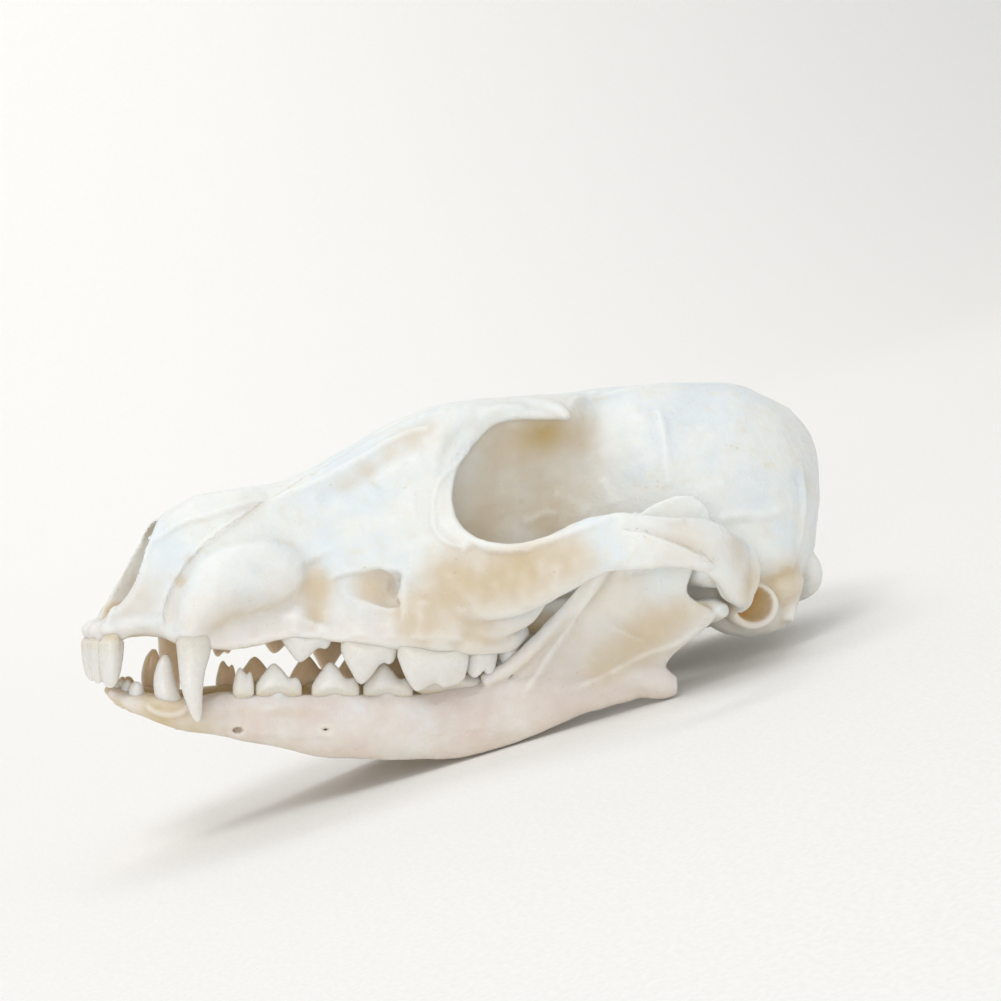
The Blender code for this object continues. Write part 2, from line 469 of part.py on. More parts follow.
def add_object(name, bm, finish, pose):
    """A named object from bm, shaded smooth, that stands with the whole skull."""
    mesh = bpy.data.meshes.new(name)
    bm.to_mesh(mesh)
    bm.free()
    mesh.shade_smooth()
    made = bpy.data.objects.new(name, mesh)
    bpy.context.collection.objects.link(made)
    made.parent = pose
    if finish is not None:
        mesh.materials.append(finish)
    return made


def cutter(name, bm, pose):
    """A helper solid that only cuts others."""
    made = add_object(name, bm, None, pose)
    made.hide_render = True
    made.display_type = "WIRE"
    return made


def fuse(piece, grain, rounds, kept):
    """Melts overlapping lumps into one bone, smooths it and thins its mesh."""
    melt = piece.modifiers.new("melt", "REMESH")
    melt.mode = "VOXEL"
    melt.voxel_size = grain * MM
    melt.use_smooth_shade = True
    soften = piece.modifiers.new("soften", "SMOOTH")
    soften.factor = 0.5
    soften.iterations = rounds
    thin = piece.modifiers.new("thin", "DECIMATE")
    thin.ratio = kept


def cut(piece, tool, overlapping=False):
    """Cuts tool out of piece."""
    made = piece.modifiers.new("cut_" + tool.name, "BOOLEAN")
    made.operation = "DIFFERENCE"
    made.solver = "EXACT"
    made.use_self = overlapping
    made.object = tool


def add_sockets(piece, teeth, canine, sense, sides, pose):
    """Cuts a socket for every tooth. The rims of neighbours overlap."""
    bm = bmesh.new()
    for side in sides:
        for spec in teeth.values():
            closed_mesh(bm, socket_rings(spec, sense, side))
        closed_mesh(bm, canine_socket(canine), mirrored=side < 0)
    cut(piece, cutter(piece.name + "_sockets", bm, pose), overlapping=True)


def add_teeth(prefix, teeth, canine, sense, missing, finish, pose):
    """Every tooth of the upper or the lower jaw as a piece of its own."""
    for word, side in (("left", 1), ("right", -1)):
        for kind, spec in teeth.items():
            name = f"{prefix}_{word}_{kind}"
            if name in missing:
                continue
            bm = bmesh.new()
            add_tooth(bm, spec, sense, side)
            add_object(name, bm, finish, pose)
        bm = bmesh.new()
        closed_mesh(bm, canine_rings(canine), mirrored=side < 0)
        add_object(f"{prefix}_{word}_canine", bm, finish, pose)


def add_cranium(finish, pose):
    """The upper skull, one bone."""
    bm = bmesh.new()
    closed_mesh(bm, body_rings(BODY_SECTIONS, 2.0))
    add_arches(bm)
    add_eye_rims(bm)
    add_nose_and_canine_swellings(bm)
    add_skull_base(bm)
    cranium = add_object("cranium", bm, finish, pose)
    fuse(cranium, *CRANIUM_MELT)
    hollows = bmesh.new()
    add_hollows(hollows)
    cut(cranium, cutter("cranium_hollows", hollows, pose))
    add_sockets(cranium, UPPER_TEETH, UPPER_CANINE, -1, (1, -1), pose)


def add_lower_jaws(finish, pose):
    """Both halves of the lower jaw, mirror images that meet at the chin with a gap."""
    for word, side in (("left", 1), ("right", -1)):
        bm = bmesh.new()
        add_jaw(bm)
        if side < 0:
            bmesh.ops.scale(bm, vec=(1, -1, 1), verts=bm.verts)
            bmesh.ops.reverse_faces(bm, faces=bm.faces)
        jaw = add_object(f"{word}_lower_jaw", bm, finish, pose)
        fuse(jaw, *JAW_MELT)
        chin = bmesh.new()
        across, down, up, back = CHIN_BLOCK
        square = ((-across, down), (0.5 * GAP, down), (0.5 * GAP, up), (-across, up))
        closed_mesh(chin, [[(x, side * y, z) for y, z in square] for x in (0, back)])
        cut(jaw, cutter(f"{word}_chin_face", chin, pose))
        add_sockets(jaw, LOWER_TEETH, LOWER_CANINE, 1, (side,), pose)


def main():
    """Clears the scene and builds the skull at rest."""
    for old in list(bpy.context.scene.objects):
        bpy.data.objects.remove(old, do_unlink=True)
    pose = bpy.data.objects.new("skull_pose", None)
    bpy.context.collection.objects.link(pose)
    pose.rotation_euler = (0, REST_PITCH, 0)
    pose.location = REST_SHIFT
    bone = material(*BONE)
    enamel = material(*TOOTH)
    add_cranium(bone, pose)
    add_lower_jaws(bone, pose)
    add_teeth("upper", UPPER_TEETH, UPPER_CANINE, -1, ("upper_left_premolar_1",), enamel, pose)
    add_teeth("lower", LOWER_TEETH, LOWER_CANINE, 1, (), enamel, pose)


main()
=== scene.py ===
"""The looks of a fox skull that rests nose up on its closed lower jaw: bone, teeth, floor and light.

Shapes are worked out in millimetres on the skull itself: back from the front edge of the upper jaw, side
towards the animal's left, up over the line of the upper gums. seated() turns them into the part's frame.
"""

import math

import bpy
import numpy as np
from mathutils import Matrix, Vector


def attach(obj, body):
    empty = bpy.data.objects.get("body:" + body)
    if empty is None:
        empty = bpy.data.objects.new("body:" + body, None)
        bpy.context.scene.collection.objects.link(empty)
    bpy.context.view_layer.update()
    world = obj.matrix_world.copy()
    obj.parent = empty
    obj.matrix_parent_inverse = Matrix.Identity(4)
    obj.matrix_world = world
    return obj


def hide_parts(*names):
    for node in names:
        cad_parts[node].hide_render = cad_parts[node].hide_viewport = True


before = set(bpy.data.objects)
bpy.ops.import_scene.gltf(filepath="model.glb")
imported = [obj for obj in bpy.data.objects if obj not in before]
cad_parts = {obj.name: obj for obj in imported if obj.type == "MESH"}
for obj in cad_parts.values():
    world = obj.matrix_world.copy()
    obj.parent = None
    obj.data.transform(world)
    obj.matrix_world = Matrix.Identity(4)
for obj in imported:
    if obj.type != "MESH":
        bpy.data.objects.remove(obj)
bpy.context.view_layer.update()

MM = 0.001
REST_PITCH = math.radians(18.4)
REST_SHIFT = (-73.59, 0.0, 39.26)

# How a bone is melted into one: grain before and after its hollows are cut, rounds of smoothing, and the
# most triangles that are kept.
CRANIUM_MELT = (0.5, 0.42, 3, 190000)
JAW_MELT = (0.4, 0.34, 3, 90000)

# How far the front rim of the nose leans back with height, and where that lean ends.
NOSE_LEAN = 0.5
NOSE_LEAN_END = 34.0

# Cross-sections of nose, forehead and braincase: back, crown height, then (side, up) of shoulder, brow,
# upper wall, middle wall, lower wall, cheek, outer gum, inner gum and palate side, and palate height.
BODY_SECTIONS = (
    (0, 22.6, (4.2, 21.8), (6, 18.8), (7, 15.5), (7.5, 10.5), (7.3, 6.8), (6.9, 3.9), (6.4, 1.4),
     (4, 0.9), (2, 1), 1),
    (4, 26.6, (4.6, 25.6), (7, 22), (8, 18), (8.6, 12.5), (8.8, 8), (8.9, 4.6), (9, 2.5), (6, 1.3),
     (3, 1.8), 2),
    (10, 28, (4.8, 27.2), (7.8, 23.8), (9.2, 19), (10, 13.5), (10.4, 9), (10.4, 5.5), (10.2, 3),
     (7.5, 2.2), (4, 3), 3.2),
    (16, 28.7, (5, 27.9), (8.2, 24.5), (10.2, 19.5), (11.2, 14), (11.6, 9.5), (12, 5), (12.6, 1),
     (8.5, 0.8), (5, 3.3), 3.8),
    (24, 29.4, (5, 28.6), (8.3, 25.2), (10.2, 20), (11.2, 14), (11.5, 9), (11.8, 4.8), (12.5, 0.5),
     (8.6, 0.6), (5.5, 3.6), 4.2),
    (34, 30.6, (5.2, 30), (8, 27), (9.3, 22), (9.8, 16), (10, 11), (11, 7), (13.3, 2.5), (9.2, 2.2),
     (6, 4.2), 4.5),
    (43, 35.2, (6.2, 34.4), (9.5, 31.3), (11, 26), (11.9, 19.5), (12.4, 13.5), (13.2, 8),
     (15.2, 2), (11, 1.8), (7, 4.4), 4.8),
    (51, 39.8, (7.8, 39.1), (12.2, 36), (14, 30.5), (15.2, 23.5), (16, 16.5), (16.8, 9.5),
     (17.6, 1.5), (12.2, 1.4), (8.5, 4.3), 5),
    (57, 43.1, (9, 42.4), (14.5, 39), (16.3, 33), (17.5, 26), (18.2, 18.5), (19.2, 10.5),
     (20, 1.2), (12.8, 1.2), (10, 4.2), 5),
    (59.2, 44.1, (9.5, 43.4), (15.5, 40.5), (16.8, 34.5), (18, 27.5), (18.8, 20), (20.2, 11.5),
     (20.8, 1), (13, 1.1), (10.3, 4.2), 5),
    (62.6, 45.6, (9.9, 44.9), (15.8, 42), (15, 35.6), (13, 27), (14, 19), (20.5, 12.5), (20.7, 0.9),
     (13, 1), (10.4, 4.3), 5),
    (68, 47.1, (10, 46.3), (15.2, 43), (12.4, 38), (9.8, 28), (11, 19), (19.7, 12.5), (19.7, 1),
     (12.8, 0.9), (10, 4.4), 5),
    (72, 47.5, (10, 46.8), (14, 44), (9.6, 37.5), (8.8, 28.5), (9.5, 19), (17.5, 12.5), (17.8, 2),
     (12.3, 2.2), (9, 4.8), 5.2),
    (76, 47.8, (10.2, 47.1), (14.5, 44.5), (9.8, 38), (8.6, 28.5), (8.7, 19.5), (11, 12.5), (12, 7),
     (9, 6.8), (5.5, 8.6), 9),
    (80, 48.2, (10.8, 47.6), (16, 44.6), (10.2, 38.5), (8.6, 29), (8.5, 20), (8.8, 14.5),
     (8.8, 10.5), (7, 9.3), (4.5, 9.8), 10.2),
    (85, 48.8, (10.5, 48.1), (14.5, 45), (11, 38.8), (9.2, 29.5), (8.8, 21), (8.9, 15.5), (8.6, 11),
     (7, 9.6), (4.5, 9.9), 10.2),
    (92, 50, (6, 49.4), (9.8, 45.5), (11.6, 39), (12, 30), (11.5, 22), (11, 16), (10, 12),
     (7.8, 10.2), (4.5, 10), 10),
    (100, 51.2, (8, 50.1), (14, 45), (17.8, 38), (19, 30), (18.3, 22), (17, 16.5), (14, 12.6),
     (10, 10.6), (5, 10), 9.9),
    (110, 52.2, (9.5, 50.8), (17, 44.8), (21.5, 37.3), (23, 29.5), (22.7, 22), (21.8, 17), (18, 13),
     (12.5, 10.8), (6, 10), 9.7),
    (120, 52.7, (10.5, 51), (18, 44.8), (22.3, 37), (23.6, 29.3), (23.6, 22.5), (23, 17.5),
     (19.5, 13), (13, 10.8), (6, 9.8), 9.5),
    (128, 51.6, (10.5, 49.2), (17.2, 43), (20.4, 35.5), (21.6, 28.3), (21.8, 22), (21.4, 17.5),
     (18, 13.5), (12.5, 11.5), (6, 10.5), 10),
    (134.5, 49, (9.4, 46.2), (14.2, 40.4), (16, 34), (16.4, 27.8), (16, 22.5), (15, 18.5),
     (12.4, 15.3), (9, 13.4), (4.5, 12.4), 12),
    (139, 44.8, (6.8, 42.5), (9.4, 37.6), (10, 32.4), (9.8, 27.4), (9.4, 23.4), (8.8, 20.2),
     (7.4, 17.6), (5.8, 16), (3, 15), 14.6),
    (142, 38.6, (3.6, 37.2), (4.8, 34.2), (5.2, 31.2), (5.2, 28.2), (5, 25.6), (4.6, 23.5),
     (4, 21.8), (3, 20.8), (1.5, 20.2), 20),
)

# Bars of bone on each side: rows of (back, side, up, half height, half width), how square they are, and the
# direction their height is measured in.
UP = (0, 0, 1)
BACK = (1, 0, 0)
SIDE = (0, 1, 0)
CRANIUM_BARS = (
    # cheek arch
    (((55, 15, 15, 7, 3), (61, 18.5, 14.4, 8, 3.2), (66, 22.4, 13.4, 7.2, 2.6),
      (70.5, 26.2, 13.6, 6.4, 2.1), (77, 30.8, 16.6, 5.4, 1.8), (84, 34.2, 20.4, 5.2, 1.7),
      (91, 36.6, 20.8, 4.7, 1.7), (98, 37.3, 21, 4.3, 1.8), (104, 36.2, 20.2, 4.4, 2),
      (109.5, 33.2, 17.6, 5.4, 2.1), (113.6, 29, 15.4, 6, 2.2), (116.6, 24, 14.4, 5, 2.6)), 2.4, UP),
    # shelf over the jaw hinge
    (((108, 20, 15.6, 2.6, 4), (110.5, 26, 15.4, 2.4, 4.2), (111, 31, 16.8, 2, 3.2)), 2.4, UP),
    # root of the arch over the molars
    (((64, 19, 6.4, 5, 2.4), (70, 20.6, 7.6, 4.6, 2.2), (75, 20.8, 9.2, 3.6, 1.8),
      (78, 21.6, 11.6, 2, 1.2)), 2.4, UP),
    # rim of bone over the upper molars
    (((61, 19.4, 2.6, 2.1, 1.5), (65.4, 20, 2.2, 2.1, 1.6), (69.6, 19.4, 2.2, 2.1, 1.6),
      (73.4, 18, 2.6, 1.9, 1.5), (76.6, 16, 4.6, 1.7, 1.3)), 2.0, UP),
    # stop behind the jaw hinge
    (((116.3, 17, 11.6, 3.6, 1.6), (116, 22, 11.4, 3.6, 1.7), (115.4, 27, 12.6, 4, 1.7),
      (114.6, 29.6, 15, 3.4, 1.5)), 2.4, UP),
    # rim of the eye socket
    (((81.5, 16.6, 43.6, 0.8, 0.9), (76.5, 15, 43.8, 0.9, 0.9), (70.4, 14.4, 42.4, 1.2, 0.85),
      (65.6, 14.6, 38, 1.9, 0.85), (62, 15.6, 32.2, 2.2, 0.85), (61, 17.2, 27, 2.0, 0.9),
      (61.9, 20, 22.8, 1.5, 0.9), (64.6, 23.8, 20.2, 1.1, 0.9), (70.2, 28.2, 19.3, 1.0, 0.95),
      (76.5, 31.6, 21.2, 0.9, 0.95), (82, 34, 24, 0.8, 0.9)), 2.0, SIDE),
    # wall just in front of that rim
    (((76, 14, 44.6, 1.4, 1.2), (71.6, 13.4, 44, 1.9, 1.7), (67.4, 13.8, 42, 2.1, 2.1),
      (64.1, 14.3, 38.2, 2.3, 2), (60.8, 15.1, 32.4, 2.4, 1.7),
      (59.8, 16.6, 27, 2.1, 1.6), (60.7, 19.4, 22.4, 1.5, 1.6), (63.5, 23.2, 19.2, 1.1, 1.4)), 2.0, SIDE),
    # horn behind the eye
    (((76, 10, 45.4, 2, 3), (80.5, 13.6, 45.2, 1.8, 2.8), (82.6, 16.6, 44.2, 1.5, 2),
      (83.4, 18.3, 43.2, 0.8, 1)), 2.0, UP),
    # swelling over the canine's root
    (((16.6, 10.4, 1.6, 3, 3), (18.4, 10.3, 6.6, 4.6, 4.2), (21.8, 10.2, 11, 6.2, 5),
      (27, 9.6, 13.2, 6.4, 5.3), (33, 8.3, 13.8, 5.2, 4.6), (38.5, 6.8, 14, 2.6, 2.6)), 2.0, UP),
    # ring of the ear
    (((119.8, 17, 10.4, 4.6, 5.4), (119.4, 20.4, 9.9, 4.6, 5.3), (119.2, 22.6, 9.7, 4.5, 5.1),
      (119.1, 23.8, 9.7, 4.2, 4.8)), 2.0, UP),
    # spur behind the ear
    (((129.6, 17.6, 15, 2.6, 2.8), (129, 18.4, 10, 1.8, 2.4), (128.4, 18.8, 6.6, 1.2, 1.5)), 2.0, BACK),
    # knob that meets the neck
    (((136, 3.6, 11.8, 2.0, 2.4), (138.2, 6.8, 13.6, 2.6, 2.7), (137.6, 10, 16.6, 2.4, 2.4),
      (135.6, 11.4, 20, 1.7, 1.9)), 2.0, BACK),
    # plate beside the throat
    (((69, 8.2, 6, 2.6, 1.2), (76, 7.6, 6.4, 3.8, 1), (84, 7.3, 6.8, 3.6, 0.9), (90, 7.8, 6.2, 3, 0.9),
      (94, 8.6, 4.2, 1.4, 0.9)), 2.6, UP),
    # crest round the back of the head
    (((127.5, 20.8, 17, 1, 1), (129.6, 20.2, 25, 1.2, 1), (130.4, 18.7, 34, 1.2, 1),
      (131.2, 14.4, 42, 1.2, 1), (133, 7.4, 47.2, 1.3, 1.1), (134.4, 0, 49, 1.4, 1.2)), 2.0, BACK),
)
# The bar that holds the upper front teeth, from right to left.
FRONT_BAR = ((12, -9.2, 4.6, 1.6, 1.4), (8, -8.6, 4.4, 1.7, 1.6), (4.6, -7.2, 3.1, 2.2, 1.9),
             (2.2, -4.2, 2.3, 2.3, 2.1), (1.7, 0, 2.2, 2.3, 2.1), (2.2, 4.2, 2.3, 2.3, 2.1),
             (4.6, 7.2, 3.1, 2.2, 1.9), (8, 8.6, 4.4, 1.7, 1.6), (12, 9.2, 4.6, 1.6, 1.4))
# Rounded lumps on each side: centre and half lengths.
CRANIUM_EGGS = (
    ((122.5, 13.2, 10.2), (10.5, 7.4, 6.9)),
    ((127, 18.6, 14), (4.6, 3, 4.8)),
    # plate behind the jaw hinge
    ((112.4, 30.2, 16), (4.7, 1.9, 6)),
)

# Hollows. The nose: place along it, middle height, half width and half height.
NOSE_HOLLOW = ((-4, 12.6, 6.0, 8.6), (4, 13.6, 6.6, 9.4), (12, 14.6, 7.6, 9.6), (22, 15.6, 8, 9.4),
               (34, 16.8, 7, 9.2), (46, 20, 7, 9.6), (54, 22.5, 5, 7))
NOSE_SQUARE = 2.3
MIDDLE_HOLLOWS = (
    (((62, 0, 9.4, 2.6, 4.6), (72, 0, 8.6, 3.2, 5.2), (80, 0, 5.6, 3.4, 5.2)), 3.0, UP),
    (((122, 0, 25.6, 3.2, 4.6), (128, 0, 24.6, 3.5, 5), (134, 0, 23.6, 5.4, 6.8),
      (141, 0, 21.8, 6, 7.4), (149, 0, 19.4, 6.6, 8)), 2.0, UP),
)
SIDE_HOLLOWS = (
    # hole in the cheek, through to the eye socket
    (((38, 13.4, 12, 1.2, 1.2), (43, 14.5, 12, 2.2, 1.9), (48, 15.9, 11.8, 3, 2.2),
      (51.4, 16.4, 11.6, 3.3, 2.4), (53, 16.4, 11.4, 3.1, 2.2)), 2.6, UP),
    (((51.8, 14.6, 11.8, 1.8, 1.1), (56, 14.8, 12, 1.5, 1.2), (62, 14.6, 12.4, 1.4, 1.4),
      (68, 15, 13, 1.5, 1.5)), 2.0, UP),
    # slots in the palate behind the front teeth
    (((10.5, 2.6, 2, 0.9, 3), (14, 2.9, 2.6, 1.2, 3), (18.5, 2.8, 2.8, 0.7, 3)), 2.0, SIDE),
)
SIDE_PITS = (
    # centre, half lengths: ear opening, then the small holes for nerves and vessels
    ((119, 25.6, 10), (4.1, 6.4, 3.6)),
    ((97.6, 12.4, 17.6), (1.2, 3, 1.1)),
    ((93.2, 11, 15.2), (1.5, 3, 1.2)),
    ((88.4, 9.4, 14.2), (1.0, 2.6, 0.9)),
    ((72.6, 9.4, 13.6), (1.7, 2.4, 1.2)),
    ((66.8, 13.4, 25), (1.2, 1.6, 1)),
    ((74.4, 9, 24.6), (0.8, 1.4, 0.6)),
    ((78.2, 9, 27.8), (0.7, 1.3, 0.6)),
    ((36, 6.6, 3.4), (0.9, 0.8, 2)),
    ((133.8, 9.6, 13.2), (1.2, 1.2, 2)),
    ((129.4, 11.4, 11.4), (1.5, 1.2, 2.4)),
)
# The left edge of the nose opening lies a little further back than the right.
NOSE_BITE = ((8.6, 7.6, 24, 1.6, 2.6), (7.9, 7.6, 22, 2.2, 2.8), (6.9, 7.6, 18.2, 2.2, 2.8),
             (6.1, 7.6, 14, 2.2, 2.8), (5, 7.6, 11.4, 2.2, 2.6), (3.7, 7.6, 8.9, 2, 2.4),
             (1.2, 7.4, 6.6, 1.6, 2))
# Rolled leaves of bone in the nose on each side: side, height, radius and turns. Then what all of them share:
# middle and half length along the nose, half thickness, how much the front is narrower, how much of the
# radius is rolled up, height of the waves, rise towards the rear, and how much taller than wide a roll is.
NOSE_SCROLLS = ((3.5, 9.4, 3.1, 2.3), (3.6, 15.6, 3.1, -2.3), (3.1, 21.2, 2.5, 1.8))
SCROLL_MIDDLE, SCROLL_HALF, SCROLL_THIN = 29, 14, 0.24
SCROLL_TAPER, SCROLL_ROLLED, SCROLL_WAVE, SCROLL_RISE, SCROLL_TALL = 0.08, 0.74, 0.12, 0.9, 1.15
# The partition between the leaves.
NOSE_PARTITION = ((30, 0, 4.6, 13, 0.4), (30.5, 0, 10, 12.6, 0.28), (32, 0, 17, 12, 0.26),
                  (35, 0, 25, 10, 0.36))
BRAIN_HOLLOW = ((115, 0, 30), (20, 16.5, 14.5))
EMPTY_SOCKETS = (((25.2, 11.4, -0.2), (0.9, 0.8, 2.6)), ((27.4, 11.7, -0.2), (0.8, 0.8, 2.2)))

# Lower jaw of the left side. Upright plate: up, front edge, rear edge, side at its middle, half thickness.
JAW_PLATE = (
    (-8.6, 77, 95, 20.2, 1.4), (-6, 75, 101, 20.5, 1.6), (-2, 74.6, 101.4, 20.9, 1.6),
    (2, 78, 103.8, 21.2, 1.6), (5, 80.4, 107.6, 21.4, 1.6), (8.5, 83.6, 109.6, 21.7, 1.5),
    (11, 85.6, 105.2, 21.9, 1.4), (15, 89.2, 105.2, 22.2, 1.3), (20, 91.8, 106.8, 22.6, 1.2),
    (25, 94.4, 108, 23, 1.1), (28, 97.6, 106.6, 23.2, 1), (29.7, 101.6, 104.4, 23.3, 0.8),
)
JAW_PLATE_MIDDLE = 90
JAW_PLATE_FLARE = 0.25
JAW_PLATE_SQUARE = 2.8
JAW_BARS = (
    # tooth bar
    (((4.2, 2.2, -8, 0.9, 2.0), (6.4, 3.2, -8.9, 1.4, 3.2), (9, 4.6, -9.7, 1.8, 4.3),
      (13, 5.7, -10.6, 2.6, 5.4), (18, 5.9, -11.6, 3.2, 5.2), (24, 6.7, -11.6, 4, 3.8),
      (30, 8.3, -12.25, 4.35, 2.9), (38, 9.6, -13.2, 5.3, 2.6), (47, 11.1, -13.7, 5.7, 2.7),
      (56, 12.7, -13.6, 6.0, 2.9), (64, 14, -12.7, 6.3, 2.9), (72, 15.8, -11, 6.2, 2.7),
      (79, 17.8, -8.6, 5.4, 2.4), (87, 20, -6.4, 4, 2), (95, 22.2, -5.6, 2.6, 1.6),
      (101, 23.6, -5, 1.8, 1.3)), 2.5, UP),
    # front edge of the upright plate
    (((69, 16.4, -5, 1.4, 1.3), (74.6, 18.2, -1.4, 1.4, 1.3), (78.6, 19.5, 3, 1.5, 1.4),
      (83, 20.7, 8, 1.5, 1.5), (88.6, 22.1, 14.6, 1.5, 1.5), (92, 22.8, 21, 1.3, 1.4),
      (95.6, 23.4, 26, 1, 1.1)), 2.0, SIDE),
    # neck and knob of the hinge
    (((98, 22.8, 5.4, 4, 1.5), (104, 23.4, 7.2, 3.2, 1.7), (109.4, 23.8, 8.2, 2.4, 2.2)), 2.0, UP),
    (((109.6, 17.6, 8.2, 1.6, 1.4), (110.4, 20.6, 8.6, 2.2, 2.1), (110.8, 24.6, 8.9, 2.1, 2.2),
      (111.4, 27.4, 9, 1.2, 1.2)), 2.0, UP),
    # hook at the rear
    (((92, 21.6, -3.4, 4, 1.6), (98, 23.2, -4.2, 3.6, 1.9), (101.6, 24.3, -5, 2.9, 2.1),
      (103.4, 24.8, -5, 1.7, 1.5)), 2.0, UP),
)
# Small holes in the outer side and, last, the inner side of the lower jaw.
JAW_PITS = (
    ((25.6, 10.2, -14.2), (1.1, 2.6, 0.6)),
    ((41, 12, -13.9), (0.9, 2.2, 0.55)),
    ((12, 8.6, -13.2), (0.5, 1.6, 0.5)),
    ((79, 15.6, -2.2), (2.4, 1.6, 1.1)),
)
CHIN_GAP = 0.15

# Teeth. Each is back, side and gum height of its middle, then length, width and height of its crown, the
# turn of its long axis outward in degrees, and the outline of its cutting edge from front to back, as
# (place, height) from -1 to 1 and 0 to 1.
CHISEL = ((-1, 0.4), (-0.85, 0.76), (-0.5, 0.95), (0, 1), (0.45, 0.94), (0.8, 0.74), (1, 0.4))
PEG = ((-1, 0.3), (-0.75, 0.76), (-0.3, 1), (0.02, 0.84), (0.26, 0.76), (0.5, 0.84), (0.8, 0.68), (1, 0.26))
PREMOLAR = ((-1, 0.2), (-0.86, 0.42), (-0.64, 0.68), (-0.4, 0.94), (-0.24, 1), (-0.06, 0.92), (0.16, 0.74),
            (0.36, 0.54), (0.52, 0.48), (0.72, 0.5), (0.88, 0.4), (1, 0.18))
UPPER_CARNASSIAL = ((-1, 0.2), (-0.86, 0.5), (-0.64, 0.84), (-0.46, 1), (-0.28, 0.97), (-0.06, 0.86),
                    (0.1, 0.82), (0.28, 0.9), (0.56, 0.86), (0.8, 0.76), (0.93, 0.6), (1, 0.3))
LOWER_CARNASSIAL = ((-1, 0.26), (-0.86, 0.5), (-0.62, 0.8), (-0.42, 0.78), (-0.3, 0.76), (-0.08, 1),
                    (0.1, 0.84), (0.3, 0.48), (0.48, 0.4), (0.6, 0.42), (0.78, 0.34), (1, 0.14))
# Molars instead have cusps: (place along, place across, radius, height).
UPPER_MOLAR = ((-0.42, 0.5, 0.74, 1.0), (0.42, 0.48, 0.7, 0.86), (-0.3, -0.46, 0.6, 0.6),
               (0.42, -0.42, 0.5, 0.46), (0, 0.84, 0.4, 0.4))
LOWER_MOLAR = ((-0.46, 0.3, 0.56, 1.0), (-0.46, -0.36, 0.5, 0.86), (0.5, 0.2, 0.54, 0.7),
               (0.46, -0.4, 0.46, 0.55))
UPPER_TEETH = {
    "incisor_1": (0.9, 1.7, 0.8, 3.3, 3.5, 7.0, 90, CHISEL),
    "incisor_2": (1.7, 4.8, 0.9, 3.4, 3.6, 7.3, 62, CHISEL),
    "incisor_3": (3.5, 7.6, 1.1, 3.8, 4.3, 8.0, 40, CHISEL),
    "premolar_1": (26.0, 11, 0.8, 4.2, 2.8, 3.4, 6, PEG),
    "premolar_2": (37.2, 11.9, 2.9, 9.0, 3.2, 4.9, 10, PREMOLAR),
    "premolar_3": (48.0, 14.6, 1.7, 10.2, 3.6, 7.4, 14, PREMOLAR),
    "premolar_4": (58.8, 18.2, 0.9, 12.8, 4.0, 7.5, 10, UPPER_CARNASSIAL),
    "molar_1": (68.0, 16.2, 1.0, 6.8, 8, 5.0, 0, UPPER_MOLAR),
    "molar_2": (73.6, 15.2, 2.0, 4.6, 6, 3.8, -4, UPPER_MOLAR),
}
LOWER_TEETH = {
    "incisor_1": (6.2, 1.4, -8.6, 2.1, 2.2, 2.6, 90, CHISEL),
    "incisor_2": (6.9, 3.9, -8.6, 2.3, 2.4, 2.8, 70, CHISEL),
    "incisor_3": (8.2, 6.1, -8.8, 2.6, 2.8, 2.9, 45, CHISEL),
    "premolar_1": (26.6, 9.0, -7.8, 3.8, 2.5, 4.6, 4, PEG),
    "premolar_2": (32.9, 9.4, -7.3, 8.2, 2.8, 4.9, 6, PREMOLAR),
    "premolar_3": (43.0, 10.5, -7.5, 8.6, 3.0, 5.5, 9, PREMOLAR),
    "premolar_4": (52.3, 12.2, -7.4, 9.0, 3.3, 5.5, 11, PREMOLAR),
    "molar_1": (63.8, 13.7, -6.4, 13.2, 4.2, 6.8, 6, LOWER_CARNASSIAL),
    "molar_2": (74.0, 14.9, -3.6, 5.6, 3.6, 2.6, 6, LOWER_MOLAR),
    "molar_3": (79.0, 15.6, -2.0, 2.8, 2.4, 1.4, 6, LOWER_MOLAR),
}
MISSING = "upper_left_premolar_1"
# Canines: rows from root to tip of back, side, up, half length and half width.
UPPER_CANINE = ((17.6, 11.2, 5, 2.2, 1.5), (17.2, 11.6, 1.8, 3.1, 1.9), (17.1, 12.1, -0.4, 2.9, 1.95),
                (16.85, 12.6, -3.2, 2.35, 1.75), (16.9, 13, -6.3, 1.9, 1.45),
                (17.35, 13.3, -9.1, 1.35, 1.05), (17.85, 13.4, -11.5, 0.75, 0.6),
                (18.05, 13.4, -12.3, 0.3, 0.25))
LOWER_CANINE = ((16.2, 8, -13.4, 1.5, 1.3), (14.6, 8.5, -10.8, 1.9, 1.6), (13.5, 8.6, -8.7, 2.1, 1.65),
                (12.8, 8.5, -6.4, 2.0, 1.6), (12.65, 8.2, -4.2, 1.65, 1.35), (12.8, 7.9, -2.1, 1.05, 0.9),
                (12.9, 7.8, -1.1, 0.4, 0.35))
# A blade tooth's cross-section from its root's end up the outer side to the edge: share of its width, share
# of its edge's height over the collar, and depth under the gum.
BLADE = ((0.0, 0, -2.0), (0.25, 0, -1.9), (0.4, 0, -1.6), (0.58, 0, -1.1), (0.8, 0, -0.4),
         (0.93, 0, 0.0), (0.985, 0.02, 0), (1.0, 0.08, 0), (0.97, 0.2, 0), (0.9, 0.37, 0),
         (0.78, 0.56, 0), (0.62, 0.74, 0), (0.42, 0.885, 0), (0.22, 0.965, 0), (0.1, 0.99, 0),
         (0.0, 1.0, 0))
# A blade seen from above is a squared ellipse of this power, cut off this far round at its ends.
BLADE_SQUARE, BLADE_END = 2.6, 0.06
# The collar is a crown's straight foot: its share of the crown's height, and where it ends in BLADE.
COLLAR, BLADE_COLLAR = 0.12, 0.08
# How much of its length a root keeps, by depth under the gum. A tooth shorter than the last has short roots.
ROOT_TAPER, SHORT_TOOTH = ((0, 1), (0.4, 0.86), (2.6, 0.76)), 4.5
